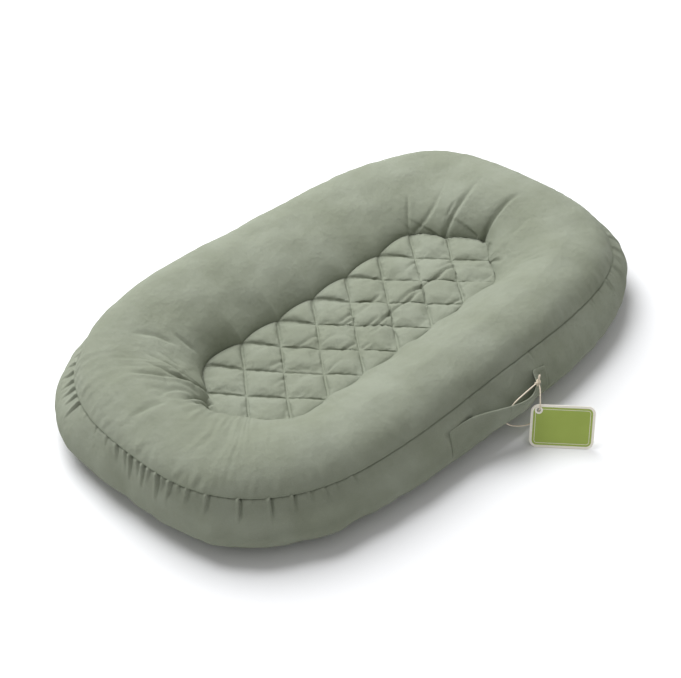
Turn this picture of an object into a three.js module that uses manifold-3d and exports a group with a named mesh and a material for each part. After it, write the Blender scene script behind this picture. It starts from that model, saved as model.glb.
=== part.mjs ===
// Infant lounger: a stuffed oval cushion with a quilted well, a sewn-on hand strap and a hang tag.
// Millimetres, +Z up. The origin is on the surface it rests on, under the middle of the oval.
// +X runs along the length, and the hand strap is on the -Y side.
import * as THREE from 'three';
import { mergeVertices } from 'three/addons/utils/BufferGeometryUtils.js';
import Module from 'manifold-3d';

const wasm = await Module();
wasm.setup();

// The oval seen from above, at its widest line
const LENGTH = 750;
const WIDTH = 468;
const OUTLINE_POWER = 3.15;

// The rim's section, from the flat base up to the crest
const CREST_HEIGHT = 102;
const CREST_INSET = 80;
const BULGE_HEIGHT = 40;
const BASE_INSET = 44;
const LOWER_SEAM_HEIGHT = 8;
const UPPER_SEAM_HEIGHT = 71;
const UPPER_SEAM_INSET = 23;
const BAND_POWER = 2.1;
const DOME_POWER = 2.3;
const WALL_POWER = 2.2;

// The quilted well: diamonds between two sets of straight stitch lines
const DIAMOND_LENGTH = 60.4;
const DIAMOND_WIDTH = 72;
const QUILT_LINES = 8;
const QUILT_REACH = 2;
const QUILT_HEIGHT = 40;
const QUILT_END_RISE = 7;
const QUILT_SIDE_RISE = 3;
const PUFF_HEIGHT = 4.5;

// Cloth, thread and the clearance between sewn layers
const CLOTH = 1.2;
const LAYER_GAP = 0.3;
const SEAM_THREAD = 0.8;
const SEAM_ALLOWANCE = 1.1;
const QUILT_THREAD = 0.7;
const QUILT_THREAD_GAP = 0.5;
const QUILT_THREAD_MARGIN = 3;

// The hand strap, sewn down at both ends and slack between them
const STRAP_LENGTH = 170;
const STRAP_WIDTH = 29;
const STRAP_THICKNESS = 2.4;
const STRAP_MIDDLE_X = 1;
const STRAP_SEAM_DROP = 11;
const STRAP_SEWN_END = 13;
const STRAP_BOW = 18;
const STRAP_BOW_SKEW = 1.8;
const STRAP_TUCK_SHARE = 0.75;
const STITCH_EDGE_MARGIN = 3;

// The hang tag: a card that stands on its lower edge and is held by a string through its hole
const TAG_LENGTH = 74;
const TAG_WIDTH = 52;
const TAG_THICKNESS = 0.9;
const TAG_CORNER_RADIUS = 9;
const TAG_HOLE_RADIUS = 2.4;
const TAG_HOLE_FROM_END = 9;
const TAG_HOLE_FROM_TOP = 7;
const TAG_SLOPE = THREE.MathUtils.degToRad(66);
const TAG_TURN = THREE.MathUtils.degToRad(-50);
const TAG_HOLE_X = 36;
const TAG_STAND_OFF = 22;
const STRING_DIAMETER = 1.6;
const KNOT_RADIUS = 2.6;
const KNOT_X = 51.5;

// How finely each stretch is faceted
const EDGE_STEPS = 3;
const BASE_STEPS = 2;
const BAND_STEPS = 6;
const DOME_STEPS = 5;
const WALL_STEPS = 5;
const STRAP_STEPS = 18;
const STRAP_FACE_STEPS = 4;
const TAG_CORNER_STEPS = 4;
const STRING_STEPS = 44;
const STRING_QUARTER_STEPS = 4;
const KNOT_STEPS = 10;
const END_ARC_SHARE = 0.52;

const lounger = new THREE.Group();
const clothColour = 0x8f9880;
const looks = {
  cloth: { color: clothColour, roughness: 0.9, metalness: 0 },
  filling: { color: 0xf1efe8, roughness: 1, metalness: 0 },
  thread: { color: 0x7d866d, roughness: 0.8, metalness: 0 },
  card: { color: 0x92a342, roughness: 0.6, metalness: 0 },
  string: { color: 0xe3d6bd, roughness: 0.9, metalness: 0 },
};

function addPiece(name, geometry, look) {
  const mesh = new THREE.Mesh(geometry, new THREE.MeshStandardMaterial(looks[look]));
  mesh.name = name;
  lounger.add(mesh);
  return mesh;
}

// Geometry from a list of points and a list of triangles of point numbers
function toGeometry(points, triangles) {
  const geometry = new THREE.BufferGeometry();
  geometry.setAttribute('position', new THREE.Float32BufferAttribute(points.flatMap((p) => p.toArray()), 3));
  geometry.setIndex(triangles.flat());
  geometry.computeVertexNormals();
  return geometry;
}

// The rim's section: how far inside the outline its surface lies at a height, below the upper seam
function sideInset(height) {
  if (height < BULGE_HEIGHT) {
    const drop = 1 - height / BULGE_HEIGHT;
    return BASE_INSET * (1 - Math.sqrt(1 - drop ** 2));
  }
  const rise = (height - BULGE_HEIGHT) / (UPPER_SEAM_HEIGHT - BULGE_HEIGHT);
  return UPPER_SEAM_INSET * (1 - (1 - rise ** BAND_POWER) ** (1 / BAND_POWER));
}

function bandHeight(turn) {
  return turn < 0
    ? BULGE_HEIGHT * (1 + Math.sin(turn))
    : BULGE_HEIGHT + (UPPER_SEAM_HEIGHT - BULGE_HEIGHT) * Math.sin(turn) ** (2 / BAND_POWER);
}

function bandInset(turn) {
  return turn < 0
    ? BASE_INSET * (1 - Math.cos(turn))
    : UPPER_SEAM_INSET * (1 - Math.cos(turn) ** (2 / BAND_POWER));
}

function domeStation(turn) {
  const across = CREST_INSET - UPPER_SEAM_INSET;
  const up = CREST_HEIGHT - UPPER_SEAM_HEIGHT;
  return {
    inset: UPPER_SEAM_INSET + across * (1 - Math.cos(turn) ** (2 / DOME_POWER)),
    height: UPPER_SEAM_HEIGHT + up * Math.sin(turn) ** (2 / DOME_POWER),
  };
}

// Where each sewn edge stops, as a turn around its own arc
const lowerSeamTurn = Math.asin(LOWER_SEAM_HEIGHT / BULGE_HEIGHT - 1);
const baseArcRadius = (BASE_INSET + BULGE_HEIGHT) / 2;
const seamTurn = SEAM_ALLOWANCE / baseArcRadius;
const bandEndTurn = Math.PI / 2 - (SEAM_ALLOWANCE / UPPER_SEAM_INSET) ** (BAND_POWER / 2);
const domeStartTurn = (SEAM_ALLOWANCE / (CREST_HEIGHT - UPPER_SEAM_HEIGHT)) ** (DOME_POWER / 2);

function spread(from, to, steps, place) {
  return Array.from({ length: steps + 1 }, (_, k) => place(from + ((to - from) * k) / steps));
}

const onBand = (turn) => ({ inset: bandInset(turn), height: bandHeight(turn) });
const baseStations = spread(-Math.PI / 2, lowerSeamTurn - seamTurn, BASE_STEPS, onBand);
const bandStations = spread(lowerSeamTurn + seamTurn, bandEndTurn, BAND_STEPS, onBand);
const domeStations = spread(domeStartTurn, Math.PI / 2, DOME_STEPS, domeStation);

// The quilting's grid: p counts along one set of stitch lines and q along the other
const GRID = QUILT_LINES * EDGE_STEPS;
const REACH = QUILT_REACH * EDGE_STEPS;
const quiltHalfLength = (DIAMOND_LENGTH * QUILT_LINES) / 2;
const quiltHalfWidth = (DIAMOND_WIDTH * QUILT_REACH) / 2;
const inGrid = (p, q) => p >= 0 && q >= 0 && p <= GRID && q <= GRID && Math.abs(q - p) <= REACH;

function quiltGround(p, q) {
  const x = (DIAMOND_LENGTH / 2) * ((p + q) / EDGE_STEPS - QUILT_LINES);
  const y = (DIAMOND_WIDTH / 2) * ((q - p) / EDGE_STEPS);
  const rise = QUILT_END_RISE * (x / quiltHalfLength) ** 2 + QUILT_SIDE_RISE * (y / quiltHalfWidth) ** 2;
  return new THREE.Vector3(x, y, QUILT_HEIGHT + rise);
}

// Humps that are zero at their edges and one at the top, across a strip and over a triangle
const hump = (t) => 4 * t * (1 - t);
const triangleHump = (u, v, w) => 27 * u * v * w;

// Each diamond swells between its stitch lines, and so does each half diamond along the long sides
function puff(p, q) {
  const a = (p % EDGE_STEPS) / EDGE_STEPS;
  const b = (q % EDGE_STEPS) / EDGE_STEPS;
  const cellOffset = Math.floor(q / EDGE_STEPS) - Math.floor(p / EDGE_STEPS);
  if (cellOffset === QUILT_REACH) return triangleHump(b, a - b, 1 - a);
  if (cellOffset === -QUILT_REACH) return triangleHump(a, b - a, 1 - b);
  return hump(a) * hump(b);
}

// The well's border in order round the oval, starting at the +X end
function borderCells() {
  const cells = [];
  for (let k = 0; k < REACH; k += 1) cells.push([GRID - k, GRID]);
  for (let k = 0; k < GRID - REACH; k += 1) cells.push([GRID - REACH - k, GRID - k]);
  for (let k = 0; k < REACH; k += 1) cells.push([0, REACH - k]);
  for (let k = 0; k < REACH; k += 1) cells.push([k, 0]);
  for (let k = 0; k < GRID - REACH; k += 1) cells.push([REACH + k, k]);
  for (let k = 0; k < REACH; k += 1) cells.push([GRID, GRID - REACH + k]);
  return cells;
}

const border = borderCells();
const RAYS = border.length;

// One quarter of the outline as a fine polyline, measured along its length
const OUTLINE_FINENESS = 720;
function outlinePoint(turn) {
  const bend = 2 / OUTLINE_POWER;
  return new THREE.Vector2(
    (LENGTH / 2) * Math.cos(turn) ** bend,
    (WIDTH / 2) * Math.sin(turn) ** bend,
  );
}

function quarterOutline() {
  const points = spread(0, Math.PI / 2, OUTLINE_FINENESS, outlinePoint);
  points[OUTLINE_FINENESS].x = 0;
  const along = [0];
  for (let k = 1; k < points.length; k += 1) along.push(along[k - 1] + points[k].distanceTo(points[k - 1]));
  return { points, along };
}

const quarter = quarterOutline();
function outlineAtShare(share) {
  const wanted = share * quarter.along[OUTLINE_FINENESS];
  let k = 1;
  while (k < OUTLINE_FINENESS && quarter.along[k] < wanted) k += 1;
  const part = (wanted - quarter.along[k - 1]) / (quarter.along[k] - quarter.along[k - 1]);
  return quarter.points[k - 1].clone().lerp(quarter.points[k], part);
}

function outlineNormal(point) {
  const nx = (Math.abs(point.x) / (LENGTH / 2)) ** (OUTLINE_POWER - 1) / (LENGTH / 2);
  const ny = (Math.abs(point.y) / (WIDTH / 2)) ** (OUTLINE_POWER - 1) / (WIDTH / 2);
  return new THREE.Vector2(Math.sign(point.x) * nx, Math.sign(point.y) * ny).normalize();
}

// Each ray goes from the outline, square to it as far as the crest, and then to its border point
const QUARTER_RAYS = RAYS / 4;
function outerPoint(ray) {
  const quadrant = Math.floor(ray / QUARTER_RAYS);
  const step = ray % QUARTER_RAYS;
  const fromEnd = quadrant % 2 === 0 ? step : QUARTER_RAYS - step;
  const share = fromEnd <= REACH
    ? (END_ARC_SHARE * fromEnd) / REACH
    : END_ARC_SHARE + ((1 - END_ARC_SHARE) * (fromEnd - REACH)) / (QUARTER_RAYS - REACH);
  const point = outlineAtShare(share);
  if (quadrant === 1 || quadrant === 2) point.x = -point.x;
  if (quadrant === 2 || quadrant === 3) point.y = -point.y;
  return point;
}

const rays = border.map(([p, q], ray) => {
  const outer = outerPoint(ray);
  const normal = outlineNormal(outer);
  const crest = outer.clone().addScaledVector(normal, -CREST_INSET);
  return { outer, normal, crest, foot: quiltGround(p, q) };
});

function rimPoint(ray, station) {
  const { outer, normal } = rays[ray];
  const point = outer.clone().addScaledVector(normal, -station.inset);
  return new THREE.Vector3(point.x, point.y, station.height);
}

// The rim's inner wall, from the crest down to the well's border
function wallPoint(ray, turn) {
  const { crest, foot } = rays[ray];
  const out = Math.sin(turn) ** (2 / WALL_POWER);
  const up = Math.cos(turn) ** (2 / WALL_POWER);
  return new THREE.Vector3(
    crest.x + (foot.x - crest.x) * out,
    crest.y + (foot.y - crest.y) * out,
    foot.z + (CREST_HEIGHT - foot.z) * up,
  );
}

// The cushion's whole outer skin as rings of points, and the quilted middle as a grid
const rings = [];
const ringNames = [];
for (const [name, stations] of [['base', baseStations], ['band', bandStations], ['dome', domeStations]]) {
  for (const station of stations) {
    rings.push(rays.map((_, ray) => rimPoint(ray, station)));
    ringNames.push(name);
  }
}
for (let k = 1; k < WALL_STEPS; k += 1) {
  rings.push(rays.map((_, ray) => wallPoint(ray, (Math.PI / 2) * (k / WALL_STEPS))));
  ringNames.push('dome');
}

const skinPoints = rings.flat();
const gridNumber = new Map();
for (let p = 0; p <= GRID; p += 1) {
  for (let q = 0; q <= GRID; q += 1) {
    if (!inGrid(p, q)) continue;
    const point = quiltGround(p, q);
    const onBorder = border.some(([bp, bq]) => bp === p && bq === q);
    if (!onBorder) point.z += PUFF_HEIGHT * puff(p, q);
    gridNumber.set(`${p},${q}`, skinPoints.length);
    skinPoints.push(point);
  }
}
const borderNumbers = border.map(([p, q]) => gridNumber.get(`${p},${q}`));
const ringNumbers = rings.map((ring, k) => ring.map((_, ray) => k * RAYS + ray));
ringNumbers.push(borderNumbers);
ringNames.push('dome');

// Two triangles for each step between neighbouring rings of point numbers
function bandTriangles(lower, upper) {
  return lower.flatMap((a, k) => {
    const next = (k + 1) % lower.length;
    return [[a, lower[next], upper[next]], [a, upper[next], upper[k]]];
  });
}

function quiltTriangles() {
  const triangles = [];
  const at = (p, q) => gridNumber.get(`${p},${q}`);
  for (let p = 0; p < GRID; p += 1) {
    for (let q = 0; q < GRID; q += 1) {
      if (!inGrid(p, q) || !inGrid(p + 1, q + 1)) continue;
      if (inGrid(p + 1, q)) triangles.push([at(p, q), at(p + 1, q), at(p + 1, q + 1)]);
      if (inGrid(p, q + 1)) triangles.push([at(p, q), at(p + 1, q + 1), at(p, q + 1)]);
    }
  }
  return triangles;
}

// A flat many-sided face, as one middle triangle and a fan on each of its three sides
function discTriangles(loop) {
  const third = Math.floor(loop.length / 3);
  const corners = [0, third, 2 * third, loop.length];
  const triangles = [[loop[0], loop[third], loop[2 * third]]];
  for (let side = 0; side < 3; side += 1) {
    for (let k = corners[side] + 1; k < corners[side + 1]; k += 1) {
      triangles.push([loop[corners[side]], loop[k], loop[(k + 1) % loop.length]]);
    }
  }
  return triangles;
}

const flip = (triangles) => triangles.map(([a, b, c]) => [a, c, b]);
const firstRing = ringNumbers[0];
const allSkin = [
  ...flip(discTriangles(firstRing)),
  ...ringNumbers.slice(1).flatMap((ring, k) => bandTriangles(ringNumbers[k], ring)),
  ...quiltTriangles(),
];

// The skin's direction at each point, weighted by the faces that meet there
function skinNormals() {
  const normals = skinPoints.map(() => new THREE.Vector3());
  for (const [a, b, c] of allSkin) {
    const ab = skinPoints[b].clone().sub(skinPoints[a]);
    const ac = skinPoints[c].clone().sub(skinPoints[a]);
    const face = ab.cross(ac).normalize();
    for (const corner of [a, b, c]) normals[corner].add(face);
  }
  for (const number of firstRing) normals[number].set(0, 0, -1);
  return normals.map((normal) => normal.normalize());
}

const normals = skinNormals();
const inside = (number, depth) => skinPoints[number].clone().addScaledVector(normals[number], -depth);

// A cloth shell: the given skin triangles, the same ones a cloth's thickness further in, and its edges
function shell(triangles, outerDepth, thickness) {
  const used = [...new Set(triangles.flat())];
  const place = new Map(used.map((number, k) => [number, k]));
  const outer = used.map((number) => inside(number, outerDepth));
  const inner = used.map((number) => inside(number, outerDepth + thickness));
  const faces = triangles.map((face) => face.map((number) => place.get(number)));
  const edges = new Map();
  for (const face of faces) {
    face.forEach((a, k) => edges.set(`${a},${face[(k + 1) % 3]}`, [a, face[(k + 1) % 3]]));
  }
  const sides = [];
  for (const [a, b] of edges.values()) {
    if (edges.has(`${b},${a}`)) continue;
    sides.push([b, a, a + used.length], [b, a + used.length, b + used.length]);
  }
  const back = flip(faces).map((face) => face.map((number) => number + used.length));
  return toGeometry([...outer, ...inner], [...faces, ...back, ...sides]);
}

function stretchOf(name) {
  const from = ringNames.indexOf(name);
  const to = ringNames.lastIndexOf(name);
  return ringNumbers.slice(from, to + 1);
}

const between = (loops) => loops.slice(1).flatMap((ring, k) => bandTriangles(loops[k], ring));

addPiece('top_cover', shell([...between(stretchOf('dome')), ...quiltTriangles()], 0, CLOTH), 'cloth');
addPiece('side_band', shell(between(stretchOf('band')), 0, CLOTH), 'cloth');
const baseFaces = [...flip(discTriangles(firstRing)), ...between(stretchOf('base'))];
addPiece('base_cloth', shell(baseFaces, 0, CLOTH), 'cloth');

// A loop of sewing thread lies in the groove between two cloth edges, halfway through the cloth
function seamThread(below, above) {
  const low = new THREE.Vector2(-below.inset, below.height);
  const high = new THREE.Vector2(-above.inset, above.height);
  const across = high.clone().sub(low).normalize();
  const inward = new THREE.Vector2(-across.y, across.x);
  const middle = low.clone().lerp(high, 0.5).addScaledVector(inward, CLOTH / 2);
  const half = SEAM_THREAD / 2;
  const points = [[-half, -half], [half, -half], [half, half], [-half, half]].map(([a, b]) => {
    const corner = middle.clone().addScaledVector(across, a).addScaledVector(inward, b);
    return rays.map((_, ray) => rimPoint(ray, { inset: -corner.x, height: corner.y }));
  });
  const loops = points.map((loop, k) => loop.map((_, ray) => k * RAYS + ray));
  const triangles = loops.flatMap((loop, k) => bandTriangles(loop, loops[(k + 1) % loops.length]));
  return toGeometry(points.flat(), triangles);
}

addPiece('upper_seam_thread', seamThread(bandStations[BAND_STEPS], domeStations[0]), 'thread');
addPiece('lower_seam_thread', seamThread(baseStations[BASE_STEPS], bandStations[0]), 'thread');

// The rim's stuffing fills the ring between the covers, out to the well's border all round
const fillDepth = CLOTH + LAYER_GAP;
function rimFilling() {
  const everySecond = (stretch) => stretch.filter((_, k) => k % 2 === 0 || k === stretch.length - 1);
  const picked = ['base', 'band', 'dome'].flatMap((name) => everySecond(stretchOf(name)));
  const loops = picked.map((ring) => ring.map((number) => inside(number, fillDepth)));
  const last = loops.length - 1;
  loops[last] = loops[last].map((point, ray) => {
    const away = rays[ray].crest.clone().sub(point).normalize().multiplyScalar(LAYER_GAP);
    return new THREE.Vector3(point.x + away.x, point.y + away.y, point.z);
  });
  const floorLoop = loops[last].map((point) => new THREE.Vector3(point.x, point.y, fillDepth));
  loops.push(floorLoop);
  const numbers = loops.map((loop, k) => loop.map((_, ray) => k * RAYS + ray));
  const triangles = numbers.flatMap((loop, k) => bandTriangles(loop, numbers[(k + 1) % numbers.length]));
  return toGeometry(loops.flat(), triangles);
}
addPiece('rim_fill', rimFilling(), 'filling');

// The wadding under the quilting, flat below and puffed above
function centreWadding() {
  const faces = quiltTriangles();
  const used = [...new Set(faces.flat())];
  const place = new Map(used.map((number, k) => [number, k]));
  const points = used.map((number) => inside(number, fillDepth));
  borderNumbers.forEach((number, ray) => {
    const point = points[place.get(number)];
    const away = rays[ray].crest.clone().sub(point).normalize().multiplyScalar(-LAYER_GAP);
    point.x += away.x;
    point.y += away.y;
  });
  const rim = borderNumbers.map((number) => place.get(number));
  const foot = rim.map((number, k) => points.length + k);
  const low = rim.map((number) => new THREE.Vector3(points[number].x, points[number].y, fillDepth));
  const top = faces.map((face) => face.map((number) => place.get(number)));
  return toGeometry([...points, ...low], [...top, ...bandTriangles(foot, rim), ...flip(discTriangles(foot))]);
}
addPiece('centre_pad', centreWadding(), 'filling');

// The quilting stitches: a net of thread that lies in the valleys between the diamonds
function threadBar(points) {
  const half = QUILT_THREAD / 2;
  const along = points[points.length - 1].clone().sub(points[0]).setZ(0).normalize();
  const side = new THREE.Vector3(-along.y, along.x, 0).multiplyScalar(half);
  const lift = QUILT_THREAD_GAP;
  const corners = points.flatMap((point) => [
    point.clone().sub(side).setZ(point.z + lift),
    point.clone().add(side).setZ(point.z + lift),
    point.clone().add(side).setZ(point.z + lift + QUILT_THREAD),
    point.clone().sub(side).setZ(point.z + lift + QUILT_THREAD),
  ]);
  const triangles = [[0, 1, 2], [0, 2, 3]];
  for (let k = 0; k < points.length - 1; k += 1) {
    for (let c = 0; c < 4; c += 1) {
      const a = 4 * k + c;
      const b = 4 * k + ((c + 1) % 4);
      triangles.push([a, a + 4, b + 4], [a, b + 4, b]);
    }
  }
  const last = 4 * (points.length - 1);
  triangles.push([last, last + 2, last + 1], [last, last + 3, last + 2]);
  const bar = toGeometry(corners, flip(triangles));
  bar.deleteAttribute('normal');
  const solid = mergeVertices(bar);
  return new wasm.Manifold(new wasm.Mesh({
    numProp: 3,
    vertProperties: solid.attributes.position.array,
    triVerts: new Uint32Array(solid.index.array),
  }));
}

function stitchLine(placeAt) {
  const points = [];
  for (let k = 0; k <= QUILT_LINES; k += 1) {
    const [p, q] = placeAt(k * EDGE_STEPS);
    if (inGrid(p, q)) points.push(quiltGround(p, q));
  }
  const last = points.length - 1;
  const margin = (end, next) => end.lerp(next, QUILT_THREAD_MARGIN / end.distanceTo(next));
  margin(points[0], points[1]);
  margin(points[last], points[last - 1]);
  return threadBar(points);
}

function quiltingNet() {
  const bars = [];
  for (let line = 1; line < QUILT_LINES; line += 1) {
    bars.push(stitchLine((k) => [line * EDGE_STEPS, k]));
    bars.push(stitchLine((k) => [k, line * EDGE_STEPS]));
  }
  const net = bars.reduce((joined, bar) => joined.add(bar));
  const { vertProperties, triVerts } = net.getMesh();
  const geometry = new THREE.BufferGeometry();
  geometry.setAttribute('position', new THREE.Float32BufferAttribute(vertProperties, 3));
  geometry.setIndex(Array.from(triVerts));
  geometry.computeVertexNormals();
  return geometry;
}
addPiece('quilting_thread', quiltingNet(), 'thread');

// The strap follows the side band and stands off it in the middle, more at its top edge than below
const strapTop = UPPER_SEAM_HEIGHT - STRAP_SEAM_DROP;
const strapStart = STRAP_MIDDLE_X - STRAP_LENGTH / 2;
const strapEnd = STRAP_MIDDLE_X + STRAP_LENGTH / 2;
const freeStart = strapStart + STRAP_SEWN_END;
const freeEnd = strapEnd - STRAP_SEWN_END;

function outlineHalfWidth(x) {
  return (WIDTH / 2) * (1 - Math.abs(x / (LENGTH / 2)) ** OUTLINE_POWER) ** (1 / OUTLINE_POWER);
}

function strapBow(x) {
  const share = THREE.MathUtils.clamp((x - freeStart) / (freeEnd - freeStart), 0, 1);
  return STRAP_BOW * Math.sin(Math.PI * share ** STRAP_BOW_SKEW) ** 2;
}

function strapOut(x, down) {
  const height = strapTop - STRAP_WIDTH * down;
  const band = outlineHalfWidth(x) - sideInset(height);
  return band + LAYER_GAP + strapBow(x) * (1 - STRAP_TUCK_SHARE * down);
}

function strapPiece(fromX, toX, steps) {
  const sections = spread(fromX, toX, steps, (x) => {
    const shares = spread(0, 1, STRAP_FACE_STEPS, (down) => down);
    const face = (down, thickness) => new THREE.Vector3(
      x,
      -strapOut(x, down) - thickness,
      strapTop - STRAP_WIDTH * down,
    );
    const inner = shares.map((down) => face(down, 0));
    const outer = shares.map((down) => face(down, STRAP_THICKNESS));
    return [...inner, ...outer.reverse()];
  });
  const around = sections[0].length;
  const numbers = sections.map((section, k) => section.map((_, c) => k * around + c));
  const sides = numbers.slice(1).flatMap((loop, k) => bandTriangles(numbers[k], loop));
  const first = numbers[0];
  const last = numbers[numbers.length - 1];
  const capOf = (loop) => spread(0, STRAP_FACE_STEPS - 1, STRAP_FACE_STEPS - 1, (k) => k).flatMap((k) => [
    [loop[k], loop[k + 1], loop[around - 2 - k]],
    [loop[k], loop[around - 2 - k], loop[around - 1 - k]],
  ]);
  return toGeometry(sections.flat(), flip([...sides, ...flip(capOf(first)), ...capOf(last)]));
}

addPiece('handle_strap', strapPiece(freeStart + LAYER_GAP, freeEnd - LAYER_GAP, STRAP_STEPS), 'cloth');
addPiece('handle_end_left', strapPiece(strapStart, freeStart, 1), 'cloth');
addPiece('handle_end_right', strapPiece(freeEnd, strapEnd, 1), 'cloth');

// One row of stitches holds each sewn end of the strap
function endStitch(x) {
  const half = SEAM_THREAD / 2;
  const marginShare = STITCH_EDGE_MARGIN / STRAP_WIDTH;
  const downs = spread(marginShare, 1 - marginShare, STRAP_FACE_STEPS, (down) => down);
  const sections = downs.map((down) => {
    const out = strapOut(x, down) + STRAP_THICKNESS + LAYER_GAP;
    const height = strapTop - STRAP_WIDTH * down;
    return [[-half, 0], [half, 0], [half, SEAM_THREAD], [-half, SEAM_THREAD]].map(
      ([dx, dOut]) => new THREE.Vector3(x + dx, -out - dOut, height),
    );
  });
  const numbers = sections.map((section, k) => section.map((_, c) => 4 * k + c));
  const sides = numbers.slice(1).flatMap((loop, k) => bandTriangles(numbers[k], loop));
  const last = numbers[numbers.length - 1];
  const cap = (loop) => [[loop[0], loop[1], loop[2]], [loop[0], loop[2], loop[3]]];
  return toGeometry(sections.flat(), [...sides, ...flip(cap(numbers[0])), ...cap(last)]);
}
addPiece('end_stitch_left', endStitch(strapStart + STITCH_EDGE_MARGIN), 'thread');
addPiece('end_stitch_right', endStitch(strapEnd - STITCH_EDGE_MARGIN), 'thread');

// The tag card: a rounded rectangle with a hole near its upper inner corner
function tagCard() {
  const left = -TAG_HOLE_FROM_END;
  const right = TAG_LENGTH - TAG_HOLE_FROM_END;
  const top = TAG_HOLE_FROM_TOP;
  const bottom = TAG_HOLE_FROM_TOP - TAG_WIDTH;
  const r = TAG_CORNER_RADIUS;
  const outline = new THREE.Shape();
  outline.absarc(right - r, bottom + r, r, -Math.PI / 2, 0, false);
  outline.absarc(right - r, top - r, r, 0, Math.PI / 2, false);
  outline.absarc(left + r, top - r, r, Math.PI / 2, Math.PI, false);
  outline.absarc(left + r, bottom + r, r, Math.PI, 1.5 * Math.PI, false);
  const hole = new THREE.Path();
  hole.absarc(0, 0, TAG_HOLE_RADIUS, 0, 2 * Math.PI, true);
  outline.holes.push(hole);
  const settings = { depth: TAG_THICKNESS, bevelEnabled: false, curveSegments: TAG_CORNER_STEPS };
  return new THREE.ExtrudeGeometry(outline, settings).translate(0, 0, -TAG_THICKNESS / 2);
}

const tag = addPiece('tag_card', tagCard(), 'card');
const tagDrop = (TAG_WIDTH - TAG_HOLE_FROM_TOP) * Math.sin(TAG_SLOPE);
const tagEdgeRise = (TAG_THICKNESS / 2) * Math.cos(TAG_SLOPE);
const tagHole = new THREE.Vector3(TAG_HOLE_X, -WIDTH / 2 - TAG_STAND_OFF, tagDrop + tagEdgeRise);
tag.position.copy(tagHole);
tag.rotation.set(TAG_SLOPE, 0, TAG_TURN, 'ZXY');

// The tag's string: from the knot across the slack strap's mouth, down behind it, round under it,
// up through the card's hole and back to the knot
const stringRoute = [
  [48.8, -240.0, 63.9], [38.0, -240.3, 63.6], [24.0, -240.6, 62.8], [12.0, -240.4, 60.8],
  [6.4, -239.4, 56.0], [4.4, -238.0, 48.0], [3.6, -236.6, 40.0], [3.6, -235.0, 33.0],
  [4.4, -235.6, 28.6], [6.8, -238.4, 26.0], [11.0, -242.6, 24.6], [17.0, -247.0, 23.4],
  [23.4, -250.8, 23.2], [28.6, -253.8, 25.4], [32.4, -255.8, 29.6], [34.8, -256.2, 34.4],
  [36.6, -255.4, 39.0], [36.0, -256.2, 41.4], [35.4, -257.3, 43.8], [36.8, -256.6, 48.2],
  [40.4, -253.4, 54.0], [44.6, -249.6, 59.0], [48.0, -246.0, 62.0], [50.6, -242.7, 63.2],
].map(([x, y, z]) => new THREE.Vector3(x, y, z));

function stringTube() {
  const section = new THREE.Shape();
  section.absarc(0, 0, STRING_DIAMETER / 2, 0, 2 * Math.PI, false);
  const path = new THREE.CatmullRomCurve3(stringRoute, false, 'centripetal');
  return new THREE.ExtrudeGeometry(section, {
    steps: STRING_STEPS,
    curveSegments: STRING_QUARTER_STEPS,
    bevelEnabled: false,
    extrudePath: path,
  });
}
addPiece('tag_string', stringTube(), 'string');

// The knot sits on the strap's top edge, between the string's two ends
const knot = addPiece('tag_knot', new THREE.SphereGeometry(KNOT_RADIUS, KNOT_STEPS, KNOT_STEPS), 'string');
knot.position.set(KNOT_X, -strapOut(KNOT_X, 0) - STRAP_THICKNESS / 2, strapTop + KNOT_RADIUS + LAYER_GAP);

export default lounger;
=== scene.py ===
# Infant lounger: a stuffed oval cushion in sage cotton with a quilted well, a sewn-on hand strap
# and a hang tag. Metres, +Z up, standing on z = 0, with +X along the length and the strap on -Y.
import math

import bpy
import numpy as np
from mathutils import Matrix, Vector


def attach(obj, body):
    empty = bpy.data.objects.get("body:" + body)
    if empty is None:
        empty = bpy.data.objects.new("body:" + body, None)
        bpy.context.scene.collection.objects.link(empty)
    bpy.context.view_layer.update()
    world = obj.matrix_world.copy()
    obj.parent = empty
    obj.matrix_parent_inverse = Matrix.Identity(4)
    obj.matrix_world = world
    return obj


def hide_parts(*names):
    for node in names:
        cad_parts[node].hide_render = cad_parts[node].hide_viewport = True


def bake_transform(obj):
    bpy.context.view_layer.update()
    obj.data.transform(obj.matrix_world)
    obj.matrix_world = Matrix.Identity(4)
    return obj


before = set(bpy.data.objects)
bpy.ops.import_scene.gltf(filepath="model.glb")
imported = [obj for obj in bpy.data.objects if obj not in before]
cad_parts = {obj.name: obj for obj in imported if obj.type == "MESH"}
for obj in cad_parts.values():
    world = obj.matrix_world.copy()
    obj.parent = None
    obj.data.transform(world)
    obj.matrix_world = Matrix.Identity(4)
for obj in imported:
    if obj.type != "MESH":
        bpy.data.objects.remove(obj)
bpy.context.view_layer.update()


# Base cloth: the plain oval of sage cotton that the lounger lies on. Its edge turns up to the
# lower seam, where it is gathered a little against the side band.
LENGTH, WIDTH, OUTLINE_POWER = 0.750, 0.468, 3.15
BULGE_HEIGHT, BASE_INSET, LOWER_SEAM_HEIGHT = 0.031, 0.056, 0.007
TURNED_IN = 0.004                            # how far a cloth's edge runs on inside its seam
OUTLINE_STEPS, ROUND_STEPS, TURN_UP_STEPS, FLOOR_STEPS = 4000, 1800, 8, 13
WEAVE_SCALE, SLUB_SCALE, CRUMPLE_SCALE, DYE_SCALE = 900.0, 900.0, 130.0, 14.0

# How far the lounger's outline stands inside its mean oval, by the distance round it
DRAWN_IN = [
    (0.0, -0.005), (0.08, -0.004), (0.18, -0.001), (0.30, 0.0), (0.62, 0.0), (0.72, -0.003),
    (0.78, -0.004), (0.88, -0.002), (0.96, 0.0), (1.02, 0.003), (1.12, 0.0055), (1.26, 0.005),
    (1.42, 0.003), (1.55, 0.0015), (1.70, 0.0), (1.88, -0.001), (1.94, -0.005), (2.02, -0.007),
]


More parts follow.
